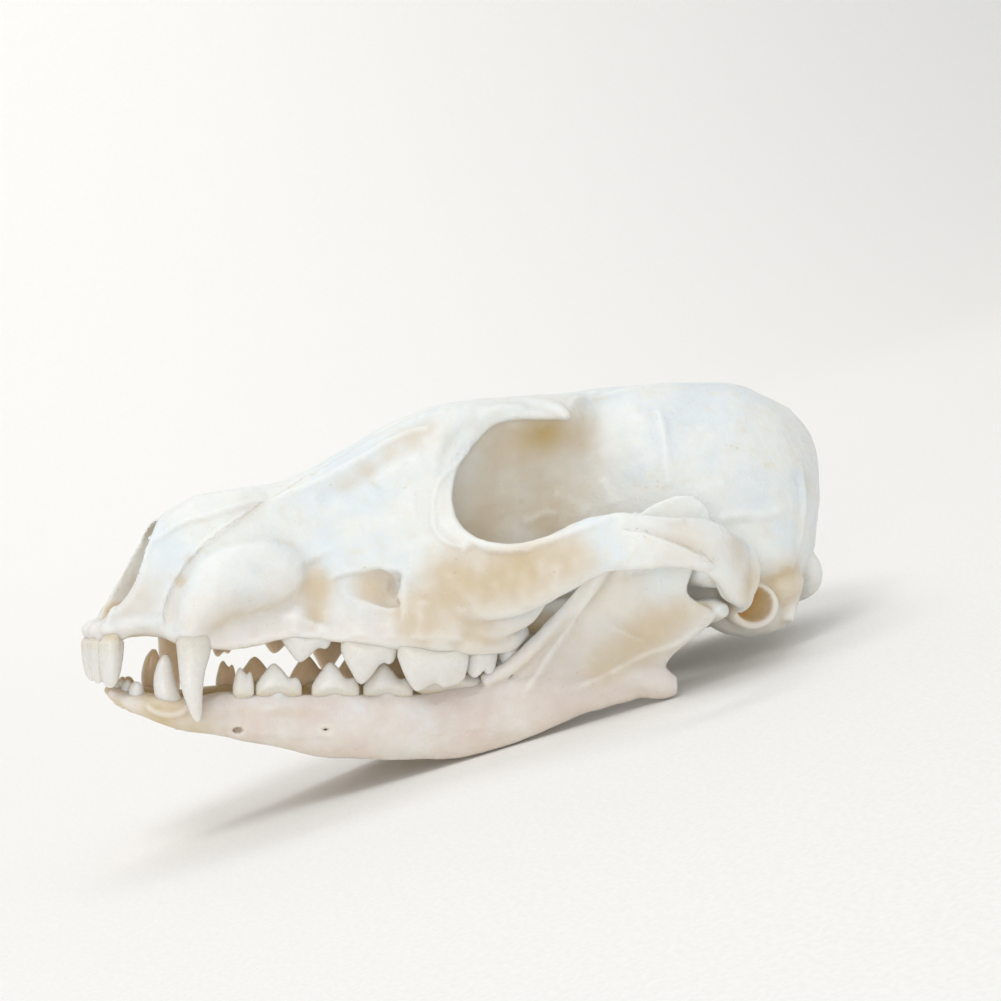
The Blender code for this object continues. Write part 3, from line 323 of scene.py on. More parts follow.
# How far the neck line of a two-rooted tooth drops at its ends and rises in its middle, and how squarely.
NECK_DROP, NECK_RISE, NECK_POWER = 0.7, 0.9, 1.6
# A molar's root from its end up: share of the crown's outline, and height over the gum.
MOLAR_ROOT = ((0.5, -2.8), (0.66, -2.4), (0.76, -1.4), (0.86, -0.4), (0.96, 0.0))
# A molar's edge: its height, and how late it and the cusps fall away towards the outline.
MOLAR_EDGE, EDGE_POWER, CUSP_POWER = 0.34, 12, 14
# Cusps stand this much lower over the edge than their own height.
CUSP_SUNK = 0.3
# Teeth longer than this have two roots.
TWO_ROOTED = 7
# Rims of bone under the teeth. Each is an egg: half its depth at most, that as a share of the tooth's length,
# how far in, how much longer and wider than the tooth at each side, and how far its top lies under the gum.
# A two-rooted tooth has a lump between its roots as well: half its length as a share of the tooth's, how far
# in, and how far its top lies over the gum.
RIM_DEPTH, RIM_DEPTH_SHARE, RIM_IN, RIM_LONGER, RIM_WIDER, RIM_UNDER = 2.2, 0.45, 0.9, 0.4, 0.2, 0.4
LUMP_SHARE, LUMP_IN, LUMP_OVER = 0.2, 0.5, 0.9

# Lines on the left side, as (back, side, up), that a mark and another mark or a seam follow.
NASAL_EDGE = ((9.5, 7, 18.2), (11.4, 7, 19.5), (13.2, 7, 20.8), (16, 7, 22.3), (19.5, 7, 23.4),
              (23.3, 7, 24.6), (27.2, 7, 25.9), (31, 7, 27))
ARCH_JOIN = ((86.7, 37, 23), (89.8, 37, 22.8), (94.8, 37, 21.6), (99.1, 37, 20.1), (102.7, 37, 18.5),
             (105, 36.5, 16.9))
# Marks on the bone of the left side, mirrored on the right: kind, height, half width, reach and line. A ridge
# lies along its line, and is a groove where its height is under nothing. A step stands proud on the upper
# side of a line that runs backward, and its height falls away over its reach.
CRANIUM_MARKS = (
    # edge of the nose opening
    ("ridge", 0.35, 0.4, 0, ((10.3, 7, 22.3), (9.2, 7, 18.2), (8.4, 7, 14), (7.5, 7, 12.4),
                             (6.1, 7, 8.9), (3.3, 7, 6.1), (2.5, 7, 3.5))),
    # edge of the nasal bone, with the flat band under it
    ("step", 0.8, 0.3, 4.5, NASAL_EDGE),
    ("ridge", 0.4, 0.45, 0, NASAL_EDGE),
    # front edge of the cheek bone over the canine
    ("step", -0.7, 0.3, 3.2, ((28.6, 10, 26), (25.4, 10, 23.7), (22.3, 10, 21.1), (18.5, 10, 18.1),
                             (15.5, 10, 14.9), (14.3, 10, 12.6), (13.4, 10, 10.7), (12.5, 10, 8.8),
                             (12.1, 10, 6.3), (12.1, 10, 3.5))),
    # hollow behind the canine's swelling
    ("ridge", -0.8, 2.6, 0, ((37.4, 11, 16.7), (39.2, 11, 12.5), (39.3, 11, 8), (38.4, 11, 4.8))),
    # ridge from the nose up the forehead, and the troughs beside it
    ("ridge", 0.6, 0.8, 0, ((30, 9, 26.6), (32.2, 9, 27.5), (39.4, 9, 30.6), (46.7, 9, 34.9),
                            (52.6, 9, 38.4), (57.4, 9, 40.4), (62.4, 9, 41))),
    ("ridge", -0.6, 2.0, 0, ((38, 10, 26.5), (45, 11.5, 31), (52, 13, 35), (58, 14, 38))),
    # raised patches in front of the eye
    ("ridge", 0.45, 1.9, 0, ((48.4, 13, 29.4), (50.2, 13, 32.3), (53.1, 13, 34.6), (57.6, 13, 36.1))),
    ("ridge", 0.4, 2.2, 0, ((46, 13, 22), (50.7, 15, 23.7), (52.8, 15, 25.2), (56.5, 15, 26))),
    # overhanging lip of the hole in the cheek
    ("step", 0.8, 0.3, 5.0, ((39.5, 14, 12.2), (41.4, 15, 13.2), (45.8, 15, 14.3), (50.2, 15, 14.7),
                             (52, 15, 13.7), (52.9, 15, 11.2), (53.3, 15, 9.1), (53.4, 15, 5.1))),
    # double line in front of the eye socket
    ("ridge", 0.4, 0.4, 0, ((64.3, 18, 39.2), (64.5, 18, 36.7), (62.2, 18, 34.1), (59.3, 18, 31.1),
                             (58.2, 18, 28.2), (58.1, 18, 25.3), (58.4, 18, 22.5), (60.3, 20, 20),
                             (63.3, 22, 19))),
    # edge of the braincase behind the eye
    ("ridge", 0.5, 0.9, 0, ((100.7, 18, 46.6), (101.6, 20, 40.7), (102.3, 20, 35.6), (102.9, 20, 30.4))),
    # ridges on the eye socket's inner wall
    ("ridge", 0.35, 1.1, 0, ((93.5, 10, 33.1), (94.7, 10, 30.3), (96, 10, 27.5))),
    ("ridge", 0.25, 1.2, 0, ((83.9, 9, 29.9), (87.6, 9, 28.7), (91.5, 9, 26))),
    ("ridge", 0.2, 0.8, 0, ((78, 9, 24), (80.3, 9, 24.9), (82.5, 9, 26), (85.5, 9, 25.8))),
    # top edge of the cheek arch, and the step where its two bones meet
    ("ridge", 0.4, 0.6, 0, ((71.7, 29, 20), (76.5, 31, 21.4), (81.7, 34, 23.5), (86.9, 36, 25.7),
                            (90.5, 36.6, 26), (93.4, 37, 25.4), (101.4, 36.8, 25.1), (105.8, 35, 24.6))),
    ("step", -0.8, 0.2, 3.0, ARCH_JOIN),
    # crest that runs on over the ear, and the lines where the jaw muscle ended
    ("ridge", 0.45, 1.1, 0, ((107, 31, 24.8), (112, 27, 26.2), (116.6, 24, 26.7), (121.7, 23, 26.9),
                            (126.4, 22, 28.5))),
    ("ridge", 0.4, 0.7, 0, ((83, 16.5, 44), (89, 10, 48.2), (96, 8, 50), (104, 7.4, 51.2),
                            (114, 6.4, 52.2), (124, 4.4, 52.1), (132, 1, 49.8))),
    ("ridge", 0.2, 1.0, 0, ((106.4, 22, 29.4), (110, 22, 31.6), (113.7, 22, 32.6))),
    # furrow along the middle of the nose and forehead
    ("ridge", -0.7, 2.4, 0, ((20, 0, 28), (34, 0, 30.5), (46, 0, 37), (58, 0, 43.5), (70, 0, 47.3),
                             (84, 0, 48.6))),
    # swellings over the roots of the cheek teeth
    ("ridge", 0.28, 1.4, 0, ((45.8, 15, 2.6), (46.2, 14, 6), (46.8, 13.5, 9.6))),
    ("ridge", 0.25, 1.4, 0, ((51, 16.5, 2.4), (51.2, 16.4, 5), (51.2, 16, 8.6))),
    ("ridge", 0.3, 1.7, 0, ((56, 19, 2.2), (56.2, 19, 5.5), (56.6, 18.6, 10))),
    ("ridge", 0.25, 1.6, 0, ((62.4, 20.6, 2), (62.6, 20.6, 5), (63, 20, 9))),
    ("ridge", 0.25, 1.0, 0, ((35, 12.4, 3), (35.2, 11.5, 6), (35.6, 11, 8.5))),
    ("ridge", 0.25, 1.0, 0, ((39.8, 13, 3), (40, 12.4, 5.5), (40.2, 12, 8))),
)
# Stretches of seam between bones, on both sides and along the middle.
CRANIUM_SEAMS = (
    ((31, 7, 27), (40, 6, 33), (50, 5.4, 39), (58, 4, 43.4)),
    ((29.4, 10, 26.6), (25.4, 10, 23.7), (18.5, 10, 18.1), (14.3, 10, 12.6), (12.5, 10, 8.8),
     (12.1, 10, 3.5)),
    ARCH_JOIN,
    ((44, 0, 5), (45, 5, 4.6), (48, 9.6, 4.2), (54, 11, 3.6)),
    ((106, 0, 9.8), (106, 5.5, 10), (107, 9, 11)),
)
MIDDLE_SEAMS = (
    ((10.8, 0, 22.6), (24, 0, 28), (40, 0, 33), (58, 0, 43)),
    ((12, 0, 3.2), (30, 0, 4.4), (50, 0, 5), (70, 0, 5)),
    ((58, 0, 43), (76, 0, 47.6), (97, 0, 51)),
)
JAW_MARKS = (
    # socket edge of the canine
    ("ridge", 0.5, 0.5, 0, ((9.4, 9, -9.4), (10.6, 9, -10.6), (13.3, 9.6, -11.4), (16.1, 9, -10.9),
                            (17.4, 9, -9.6))),
    # front ridge of the plate where the chewing muscle held on, the lower ridge, and the hollow between them
    ("ridge", 0.8, 1.0, 0, ((91, 23.4, 19), (88.5, 23, 14.3), (83.8, 22, 6.6), (78.9, 20.5, -1.5),
                            (75.6, 19, -7.8))),
    ("ridge", 0.5, 0.9, 0, ((84, 21.4, -6), (88.6, 22.6, -4), (97.3, 24, 0.6), (103, 25.6, 3.1),
                            (108, 26.4, 6.4))),
    ("ridge", -0.5, 4.0, 0, ((95, 24, 16), (96, 24, 9), (94, 23, 4))),
    # swellings over the roots of the cheek teeth, and the long hollow under the front ones
    ("ridge", 0.16, 1.5, 0, ((30.5, 10.6, -9.4), (30.6, 10.9, -12), (30.8, 10.6, -15.4))),
    ("ridge", 0.16, 1.5, 0, ((40.6, 12, -9.2), (40.7, 12.4, -12), (41, 12, -15.6))),
    ("ridge", 0.18, 1.6, 0, ((60, 15.4, -8.4), (60.2, 16.4, -11), (60.6, 16.4, -15))),
    ("ridge", 0.18, 1.6, 0, ((67, 16.8, -7), (67.4, 17.4, -10), (67.8, 17.4, -14))),
    ("ridge", -0.25, 2.2, 0, ((22, 9.4, -9), (27, 10, -11), (36, 11.4, -11.4), (48, 13.4, -11))),
)
# Warm tints, on both sides: middle, radius and strength. Partly fat stains, partly painted shade and painted
# warm reflected light in the eye socket, on the cheek under it, behind the canine's swelling and in the ear.
CRANIUM_STAINS_AND_SHADE = (
    ((78, 10, 30), 15, 0.35), ((81, 12, 41), 4.4, 0.82), ((77, 11, 39), 5, 0.42), ((87, 11, 41), 5, 0.46),
    ((70, 12, 22), 7, 0.36), ((84, 9, 24), 6, 0.36), ((68, 25, 13), 5, 0.66), ((73, 28, 15), 6, 0.7),
    ((79, 32, 17), 5, 0.58), ((62, 21, 13), 6, 0.6), ((56, 20, 6), 7, 0.48), ((66, 20, 4), 6, 0.46),
    ((39, 11, 11), 3.4, 0.46), ((48.6, 14, 11.6), 3.6, 0.5), ((39, 11, 6), 2.6, 0.4),
    ((47, 12, 33), 2.6, 0.38), ((55, 13, 39), 3.6, 0.3), ((26, 7, 26), 4, 0.16),
    ((51, 12.6, 36.4), 3, 0.28), ((59, 14, 40.4), 3.4, 0.28), ((43.6, 11, 30.6), 2.6, 0.28),
    ((7, 8.4, 9), 6, 0.26), ((118.4, 22, 10.4), 3.8, 1.3), ((114, 31, 14), 4.6, 0.5),
    ((109.4, 34, 19.6), 4, 0.4), ((98, 37, 22), 6, 0.3), ((105, 35, 20), 4, 0.3), ((127, 21, 14), 5, 0.62),
    ((60.6, 18, 25), 1.6, 0.4), ((14.6, 10, 12), 1.2, 0.42), ((16, 10, 16), 1, 0.3), ((134, 19, 33), 4, 0.2),
    ((137, 5, 16), 7, 0.26), ((60, 20, 4), 5, 0.14), ((100, 10, 10), 12, 0.25), ((112, 24, 11), 3, 0.5),
)
# The jaw's warm tints, the same way: partly stains, partly painted shade along the hollow of its upright
# plate and round the chin.
JAW_STAINS_AND_SHADE = (
    ((89, 23, -2), 4, 0.42), ((92.5, 23, 0.5), 4.4, 0.47), ((96, 24, 3), 4.8, 0.5),
    ((99.5, 24.4, 5.6), 4.6, 0.5), ((103, 25, 8), 3.6, 0.5), ((107, 25.6, 9.4), 2.4, 0.5),
    ((12.5, 8, -11), 4.4, 0.95), ((7.6, 4, -9), 3, 0.7), ((18, 9, -14), 3.8, 0.66), ((76, 18, 0), 3, 0.22),
    ((25.6, 11, -14.2), 1.5, 0.5), ((41, 13, -13.9), 1.2, 0.4), ((52, 14, -8), 3, 0.16),
    ((92, 22, 12), 10, 0.24), ((84, 21, 2), 7, 0.22),
)
# Waves in the bone: wavelength and height, in millimetres, how many ways each runs, and the seed of the ways.
BONE_WAVES = ((19, 0.10), (11, 0.07), (7, 0.045), (4.2, 0.03), (2.7, 0.018))
WAVE_WAYS = 5
WAVE_SEED = 11
# A line laid on bone: millimetres between its points, how far a point may move to where the camera sees it,
# how close to the middle it counts as unseen, and how square to the view the bone has to be there.
LINE_STEP, LINE_REACH, LINE_MIDDLE, LINE_SQUARE = 0.3, 5, 0.5, 0.4
# The share of its line over which a mark fades at each end, and the share of its height that a step sinks on
# its lower side.
MARK_FADE, STEP_SUNK = 0.12, 0.55
# Seams: how far the bone beside one knows of it, within which all of it shows, and the fade at its ends.
SEAM_REACH, SEAM_FULL, SEAM_FADE = 1.3, 0.8, 0.05
# How hollow a point is comes from the surface evened out over few and over many rounds: the rounds, and the
# depths in millimetres that count as all hollow or, the other way, as all crest.
FINE_ROUNDS, COARSE_ROUNDS = 6, 60
FINE_DEPTH, COARSE_DEPTH, CREST_DEPTH = 0.16, 0.9, 0.14
# How fast a stain or patch of painted shade fades towards its radius.
STAIN_AND_SHADE_FALL = 0.8
# Painted shade everywhere, as a darker, warmer tint: in deep hollows, on faces turned down under the skull,
# and below this height over that many millimetres.
HOLLOW_PAINTED_SHADE, UNDERSIDE_PAINTED_SHADE, LOW_PAINTED_SHADE = 0.2, 0.16, 0.1
LOW_FROM, LOW_OVER = 16, 12
# How much painted shade and warm reflected light the inside of the mouth takes, and how warm a tint the
# inside of the nose and the leaves in it take.
MOUTH_PAINTED_SHADE, NOSE_TINT, LEAF_TINT = 0.8, 0.128, 0.2
# Half width of the mouth between its tooth rows: place and half width.
MOUTH_HALF = ((0, 6), (10, 8.4), (26, 10.5), (43, 12.6), (59, 15.5), (75, 15.5), (90, 13))
# Painted shade with painted pink reflected light: below this height the bone turns a shade darker and pinker,
# over that many millimetres.
PINK_SHADE_FROM, PINK_SHADE_OVER = 18, 32

# Where the photo was taken from, worked out on the skull: degrees to the front of square on, degrees rolled,
# millimetres away, and the point that the camera stands square to. Then the picture's width and focal length
# and where that point lies in the picture, in pixels, and the film's width in millimetres.
VIEW_YAW = 17.5
VIEW_ROLL = 1.5
VIEW_DISTANCE = 350
VIEW_TARGET = (72, 0, 20)
PICTURE = 1001
FOCAL = 1839
TARGET_PIXEL = (476, 543)
FILM = 36

# How a value is carried from one span to another: with a smooth or an even rise.
SOFTLY, EVENLY = "SMOOTHSTEP", "LINEAR"
# The Mix node's sockets for colours, which share their names with those for numbers.
MIX_SHARE, MIX_UNDER, MIX_OVER, MIX_OUT = 0, 6, 7, 2
# How far red, green and blue light go in bone and enamel, as shares of each one's scale.
DEPTH_TINT = (1.0, 0.82, 0.62)
# Millimetres between pores and that a seam wanders, and how much longer streaks in enamel are than wide, as
# the share of their noise's scale along the tooth.
PORE_GAP, SEAM_WANDER, STREAK_STRETCH = 1.5, 1.5, 0.16

# The studio, in metres. The floor: where its profile starts, where and how round it curves up, the height
# where it ends, its half width, and how far under the skull it lies.
FLOOR_START, FLOOR_CURVE, FLOOR_ROUND, FLOOR_TOP, FLOOR_SIDE, FLOOR_GAP = -6, 0.8, 0.6, 3, 5, 0.0001
# Lamps on the skull: what they aim at, and back, right and up from there as the camera has them, size, watts.
LAMP_AIM = (0.0, 0.0, 0.035)
LAMPS = {
    "soft_light": (0.42, -0.3, 0.62, 0.34, 1.6),
    "fill_light": (0.9, -0.1, 0.05, 0.5, 1.9),
}
# The lamp that lights the backdrop: place, aim, size and watts.
BACKDROP_LAMP = ((0.0, 0.5, 1.3), (0.0, 1.4, 0.5), 1.0, 7)
DAYLIGHT = (0.96, 0.985, 1, 1)
DAYLIGHT_STRENGTH = 0.6


def smooth(knots, places):
    """Values at places on a smooth curve through knots, each a row of a place and its values."""
    rows = np.asarray(knots, float)
    place, value = rows[:, 0], rows[:, 1:]
    slope = np.gradient(value, place, axis=0)
    places = np.asarray(places, float)
    i = np.clip(np.searchsorted(place, places) - 1, 0, len(place) - 2)
    span = (place[i + 1] - place[i])[:, None]
    u = (places - place[i])[:, None] / span
    start = (1 + 2 * u) * (1 - u) ** 2 * value[i] + u * (1 - u) ** 2 * span * slope[i]
    return start + u * u * (3 - 2 * u) * value[i + 1] + u * u * (u - 1) * span * slope[i + 1]


def along(rows, count):
    """Rows of numbers read at count evenly spaced steps along a smooth curve through the rows."""
    rows = np.asarray(rows, float)
    reach = np.r_[0, np.cumsum(np.linalg.norm(np.diff(rows[:, :3], axis=0), axis=1))]
    return smooth(np.c_[reach, rows], np.linspace(0, reach[-1], count))


def ease(value, low, high):
    """0 below low, 1 above high and a smooth rise between."""
    t = np.clip((value - low) / (high - low), 0, 1)
    return t * t * (3 - 2 * t)


def turned(points):
    """Skull millimetres with the animal's left at -Y, as the part has it."""
    return np.asarray(points, float) * (1, -1, 1)


def seated(points):
    """The part's frame, in metres: (c x + s z, y, c z - s x) + shift, with c, s of the resting pitch."""
    x, y, z = np.moveaxis(np.asarray(points, float), -1, 0)
    c, s = math.cos(REST_PITCH), math.sin(REST_PITCH)
    return (np.stack([c * x + s * z, y, c * z - s * x], axis=-1) + REST_SHIFT) * MM


def nose_lean(places):
    """How far the nose leans back for each millimetre of height, at places along it."""
    return NOSE_LEAN * (1 - ease(places, 0, NOSE_LEAN_END))


def body_rings(sections, step, finer):
    """Rings round the head: (back + lean z, y, z), smooth through the sections round it and along it."""
    net = []
    for back, crown, *wall, palate in sections:
        half = [(0, crown), *wall, (0, palate)]
        padded = [(-half[1][0], half[1][1]), *half, (-half[-2][0], half[-2][1])]
        count = len(half) - 1
        curve = smooth(np.c_[np.arange(-1, count + 2), padded], np.linspace(0, count, finer * count + 1))
        net.append(np.r_[back, curve.ravel()])
    places = np.linspace(0, sections[-1][0], int(sections[-1][0] / step) + 1)
    half = smooth(net, places).reshape(len(places), -1, 2)
    left = np.dstack([places[:, None] + nose_lean(places)[:, None] * half[..., 1], half])
    right = left[:, -2:0:-1] * (1, -1, 1)
    return np.concatenate([left, right], axis=1)


def round_corners(sides, power):
    """cos and sin of evenly spaced turns, each raised to 2 / power: a circle for 2, squarer above it."""
    turn = np.linspace(0, 2 * math.pi, sides, endpoint=False)
    c, s = np.cos(turn), np.sin(turn)
    return np.sign(c) * np.abs(c) ** (2 / power), np.sign(s) * np.abs(s) ** (2 / power)


def sweep_rings(rows, power=2.0, up=UP, sides=28, step=0.9):
    """Rings of a bar: path(u) + rise a cos(v) + across b sin(v), through rows of (x, y, z, a, b)."""
    rows = np.asarray(rows, float)
    reach = np.linalg.norm(np.diff(rows[:, :3], axis=0), axis=1).sum()
    rows = along(rows, max(8, int(reach / step)))
    path, tall, wide = rows[:, :3], np.abs(rows[:, 3]), np.abs(rows[:, 4])
    run = np.gradient(path, axis=0)
    run /= np.linalg.norm(run, axis=1)[:, None]
    rise = np.asarray(up, float) - run * (run @ np.asarray(up, float))[:, None]
    rise /= np.linalg.norm(rise, axis=1)[:, None]
    across = np.cross(run, rise)
    c, s = round_corners(sides, power)
    return (path[:, None] + rise[:, None] * (tall[:, None] * c)[..., None]
            + across[:, None] * (wide[:, None] * s)[..., None])


def egg_rings(centre, radii, sides=28, steps=20):
    """Rings of an egg: centre - (a cos u, b sin u cos v, c sin u sin v) for half lengths a, b, c."""
    angle = np.linspace(0, math.pi, steps + 2)[1:-1, None]
    turn = np.linspace(0, 2 * math.pi, sides, endpoint=False)
    return np.stack([centre[0] - np.cos(angle) * radii[0] + 0 * turn,
                     centre[1] + np.sin(angle) * np.cos(turn) * radii[1],
                     centre[2] + np.sin(angle) * np.sin(turn) * radii[2]], axis=-1)


def plate_rings(rows, sides=48, step=0.9):
    """Level rings of the jaw's plate: (m + h cos v, out, z), flaring outward in proportion to its back."""
    levels = np.linspace(rows[0][0], rows[-1][0], int((rows[-1][0] - rows[0][0]) / step))
    up, front, rear, side, half = smooth(np.c_[np.array(rows)[:, 0], rows], levels).T
    c, s = round_corners(sides, JAW_PLATE_SQUARE)
    back = (front + rear)[:, None] / 2 + (rear - front)[:, None] / 2 * c
    out = side[:, None] + JAW_PLATE_FLARE * (back - JAW_PLATE_MIDDLE) + half[:, None] * s
    return np.stack([back, out, up[:, None] + 0 * c], axis=-1)


def nose_rings():
    """Rings of the nose's hollow: (t + lean z, a sin v, m + b cos v), squared off a little."""
    places = np.linspace(NOSE_HOLLOW[0][0], NOSE_HOLLOW[-1][0], 60)
    middle, wide, tall = smooth(NOSE_HOLLOW, places).T
    c, s = round_corners(40, NOSE_SQUARE)
    up = middle[:, None] + tall[:, None] * c
    return np.stack([places[:, None] + nose_lean(places)[:, None] * up, wide[:, None] * s, up], axis=-1)


def scroll_rings(middle, up, reach, turns):
    """Rings across a rolled leaf of bone: ring v lies at angle 2 pi turns v and radius r(x) (1 - k v), and is
    a long thin ellipse in x and radius, so the leaf is rounded at both ends and narrows towards the front."""
    share = np.linspace(0, 1, 64)[:, None]
    around_leaf = np.linspace(0, 2 * math.pi, 40, endpoint=False)
    back = SCROLL_MIDDLE + SCROLL_HALF * np.cos(around_leaf) + 0 * share
    run = (back - SCROLL_MIDDLE) / SCROLL_HALF
    radius = reach * (1 - SCROLL_TAPER * (1 - run)) * (1 - SCROLL_ROLLED * share)
    angle = 2 * math.pi * turns * share
    radius = radius + SCROLL_THIN * np.sin(around_leaf) + SCROLL_WAVE * np.sin(3 * angle + 4 * run)
    return np.stack([back, middle + radius * np.cos(angle),
                     up + SCROLL_RISE * run + radius * np.sin(angle) * SCROLL_TALL], axis=-1)


def skin(rings, mirrored=False):
    """A closed surface over rings of points: quads between rings, a fan at each end, faces outward."""
    rings = np.array(rings, float)
    if mirrored:
        rings[..., 1] *= -1
    rings = turned(rings)
    count, sides = rings.shape[:2]
    index = np.arange(count * sides).reshape(count, sides)
    after = np.roll(index, -1, axis=1)
    quads = np.stack([index[:-1], after[:-1], after[1:], index[1:]], axis=-1).reshape(-1, 4)
    first = np.stack([after[0], index[0], np.full(sides, count * sides)], axis=-1)
    last = np.stack([index[-1], after[-1], np.full(sides, count * sides + 1)], axis=-1)
    points = np.vstack([rings.reshape(-1, 3), rings[0].mean(0), rings[-1].mean(0)])
    tris = np.vstack([first, last])
    split = np.vstack([quads[:, :3], quads[:, [0, 2, 3]], tris])
    a, b, c = (points[split[:, k]] for k in range(3))
    if (a * np.cross(b, c)).sum() < 0:
        quads, tris = quads[:, ::-1], tris[:, ::-1]
    return points, quads, tris


def both(rings):
    """The same closed surface on the animal's left and on its right."""
    return [skin(rings), skin(rings, mirrored=True)]


def raw_piece(name, skins):
    """An object that holds several closed surfaces, in millimetres."""
    points, faces, start = [], [], 0
    for own, quads, tris in skins:
        points.append(own)
        faces += (quads + start).tolist() + (tris + start).tolist()
        start += len(own)
    mesh = bpy.data.meshes.new(name)
    mesh.from_pydata(np.vstack(points).tolist(), [], faces)
    made = bpy.data.objects.new(name, mesh)
    bpy.context.scene.collection.objects.link(made)
    return made


def settle(piece):
    """Makes a piece's modifiers part of its mesh."""
    bpy.context.view_layer.update()
    graph = bpy.context.evaluated_depsgraph_get()
    mesh = bpy.data.meshes.new_from_object(piece.evaluated_get(graph))
    old = piece.data
    piece.modifiers.clear()
    piece.data = mesh
    bpy.data.meshes.remove(old)


def melt(piece, grain):
    """Melts the surfaces of a piece into one, on a grid of that grain."""
    made = piece.modifiers.new("melt", "REMESH")
    made.mode = "VOXEL"
    made.voxel_size = grain * 1


def soften(piece, rounds):
    """Evens out the marks of the grid."""
    made = piece.modifiers.new("soften", "SMOOTH")
    made.factor = 0.5
    made.iterations = rounds


def hollow_out(piece, skins, grain):
    """Cuts surfaces, melted into one, out of a piece."""
    tool = raw_piece(piece.name + "_hollows", skins)
    melt(tool, grain)
    settle(tool)
    made = piece.modifiers.new("hollow", "BOOLEAN")
    made.operation = "DIFFERENCE"
    made.solver = "MANIFOLD"
    made.object = tool
    settle(piece)
    bpy.data.objects.remove(tool, do_unlink=True)


def thinned(piece, most):
    """Keeps the triangles that matter most, up to a number."""
    piece.data.calc_loop_triangles()
    count = len(piece.data.loop_triangles)
    if count > most:
        made = piece.modifiers.new("thin", "DECIMATE")
        made.ratio = most / count
        settle(piece)


def corners(mesh):
    """Places and outward directions of a mesh's corner points."""
    co = np.empty(len(mesh.vertices) * 3)
    mesh.vertices.foreach_get("co", co)
    normal = np.empty(len(mesh.vertices) * 3)
    mesh.vertex_normals.foreach_get("vector", normal)
    return co.reshape(-1, 3), normal.reshape(-1, 3)


def move_corners(mesh, co):
    """Gives a mesh's corner points new places."""
    mesh.vertices.foreach_set("co", np.ascontiguousarray(co, float).ravel())
    mesh.update()


def store(mesh, name, value):
    """Keeps a number for each corner point, for the materials to read."""
    made = mesh.attributes.new(name, "FLOAT", "POINT")
    made.data.foreach_set("value", np.asarray(value, np.float32))


def tooth_place(spec, sense, side, u, v, height):
    """Points of a tooth: u along and v across it, from -1 to 1, and height from the gum towards its tip."""
    back, out, gum, length, width, _, turn, _ = spec
    a = math.radians(turn)
    x = back + u * length / 2 * math.cos(a) - v * width / 2 * math.sin(a)
    y = out + u * length / 2 * math.sin(a) + v * width / 2 * math.cos(a)
    return np.stack([x, side * y, gum + sense * height], axis=-1)


def blade_rings(spec, sense, side, steps=56):
    """Rings along a blade tooth: (u, w(u) v, h), its edge's outline times a fixed cross-section. Roots taper,
    and are shorter under a short tooth."""
    u = -np.cos(np.linspace(BLADE_END, math.pi - BLADE_END, steps))
    wide = (1 - np.abs(u) ** BLADE_SQUARE) ** (1 / BLADE_SQUARE)
    share, rise, depth = (np.r_[column, sign * column[-2:0:-1]]
                          for column, sign in zip(np.array(BLADE).T, (-1, 1, 1)))
    collar = COLLAR * spec[5]
    tall = spec[5] * smooth(spec[7], u)
    height = (depth + np.minimum(rise, BLADE_COLLAR) / BLADE_COLLAR * collar
              + np.clip((rise - BLADE_COLLAR) / (1 - BLADE_COLLAR), 0, 1) * np.maximum(tall - collar, 0))
    if spec[3] > TWO_ROOTED:
        arc = (NECK_RISE - (NECK_DROP + NECK_RISE) * np.abs(u) ** NECK_POWER)[:, None]
        height = height + arc * np.clip(1 - height / np.maximum(tall, collar), 0, 1)
    reach = np.interp(-depth, *np.array(ROOT_TAPER).T)
    height = np.where(height < 0, height * min(1, spec[3] / SHORT_TOOTH), height)
    return tooth_place(spec, sense, side, u[:, None] * reach, wide[:, None] * share, height)


def cusp_rings(spec, sense, side, sides=48, steps=26):
    """Rings of a molar from its root's end over its crown. At (u, v) the crown is as high as the tallest of
    its edge and its cusps, each a dome 1 - d^2 for the distance d in its own radius."""
    turn = np.linspace(0, 2 * math.pi, sides, endpoint=False)
    c, s = np.cos(turn), np.sin(turn)
    rings = [tooth_place(spec, sense, side, share * c, share * s, height + 0 * c)
             for share, height in MOLAR_ROOT]
    for share in np.linspace(1.0, 0.02, steps):
        u, v = share * c, share * s
        edge = MOLAR_EDGE * (1 - share ** EDGE_POWER)
        tall = edge + 0 * u
        for cu, cv, radius, height in spec[7]:
            gap = np.hypot(u - cu, v - cv) / radius
            dome = np.clip(1 - gap * gap, 0, 1) * (1 - share ** CUSP_POWER)
            tall = np.maximum(tall, edge + (height - CUSP_SUNK) * dome)
        rings.append(tooth_place(spec, sense, side, u, v, spec[5] * (COLLAR + (1 - COLLAR) * tall)))
    return np.array(rings)


def canine_rings(rows):
    """Rings of a curved, pointed canine from its root to its tip."""
    return sweep_rings(rows, up=BACK, sides=36, step=0.3)


def draped(piece, rows):
    """A line laid on a piece: each point goes to where the camera's line through it meets the surface, or to
    the nearest place on it where the camera doesn't see it squarely close by."""
    rows = np.asarray(rows, float)
    reach = np.linalg.norm(np.diff(rows, axis=0), axis=1).sum()
    eye = Vector(eye_point())
    line = []
    for point in turned(along(rows, max(8, int(reach / LINE_STEP)))):
        aim = Vector(point)
        look = (aim - eye).normalized()
        hit, place, facing, _ = piece.ray_cast(eye, look)
        if (not hit or (place - aim).length > LINE_REACH or point[1] > -LINE_MIDDLE
                or abs(facing.dot(look)) < LINE_SQUARE):
            _, place, _, _ = piece.closest_point_on_mesh(aim)
        line.append(place[:])
    return np.array(line)


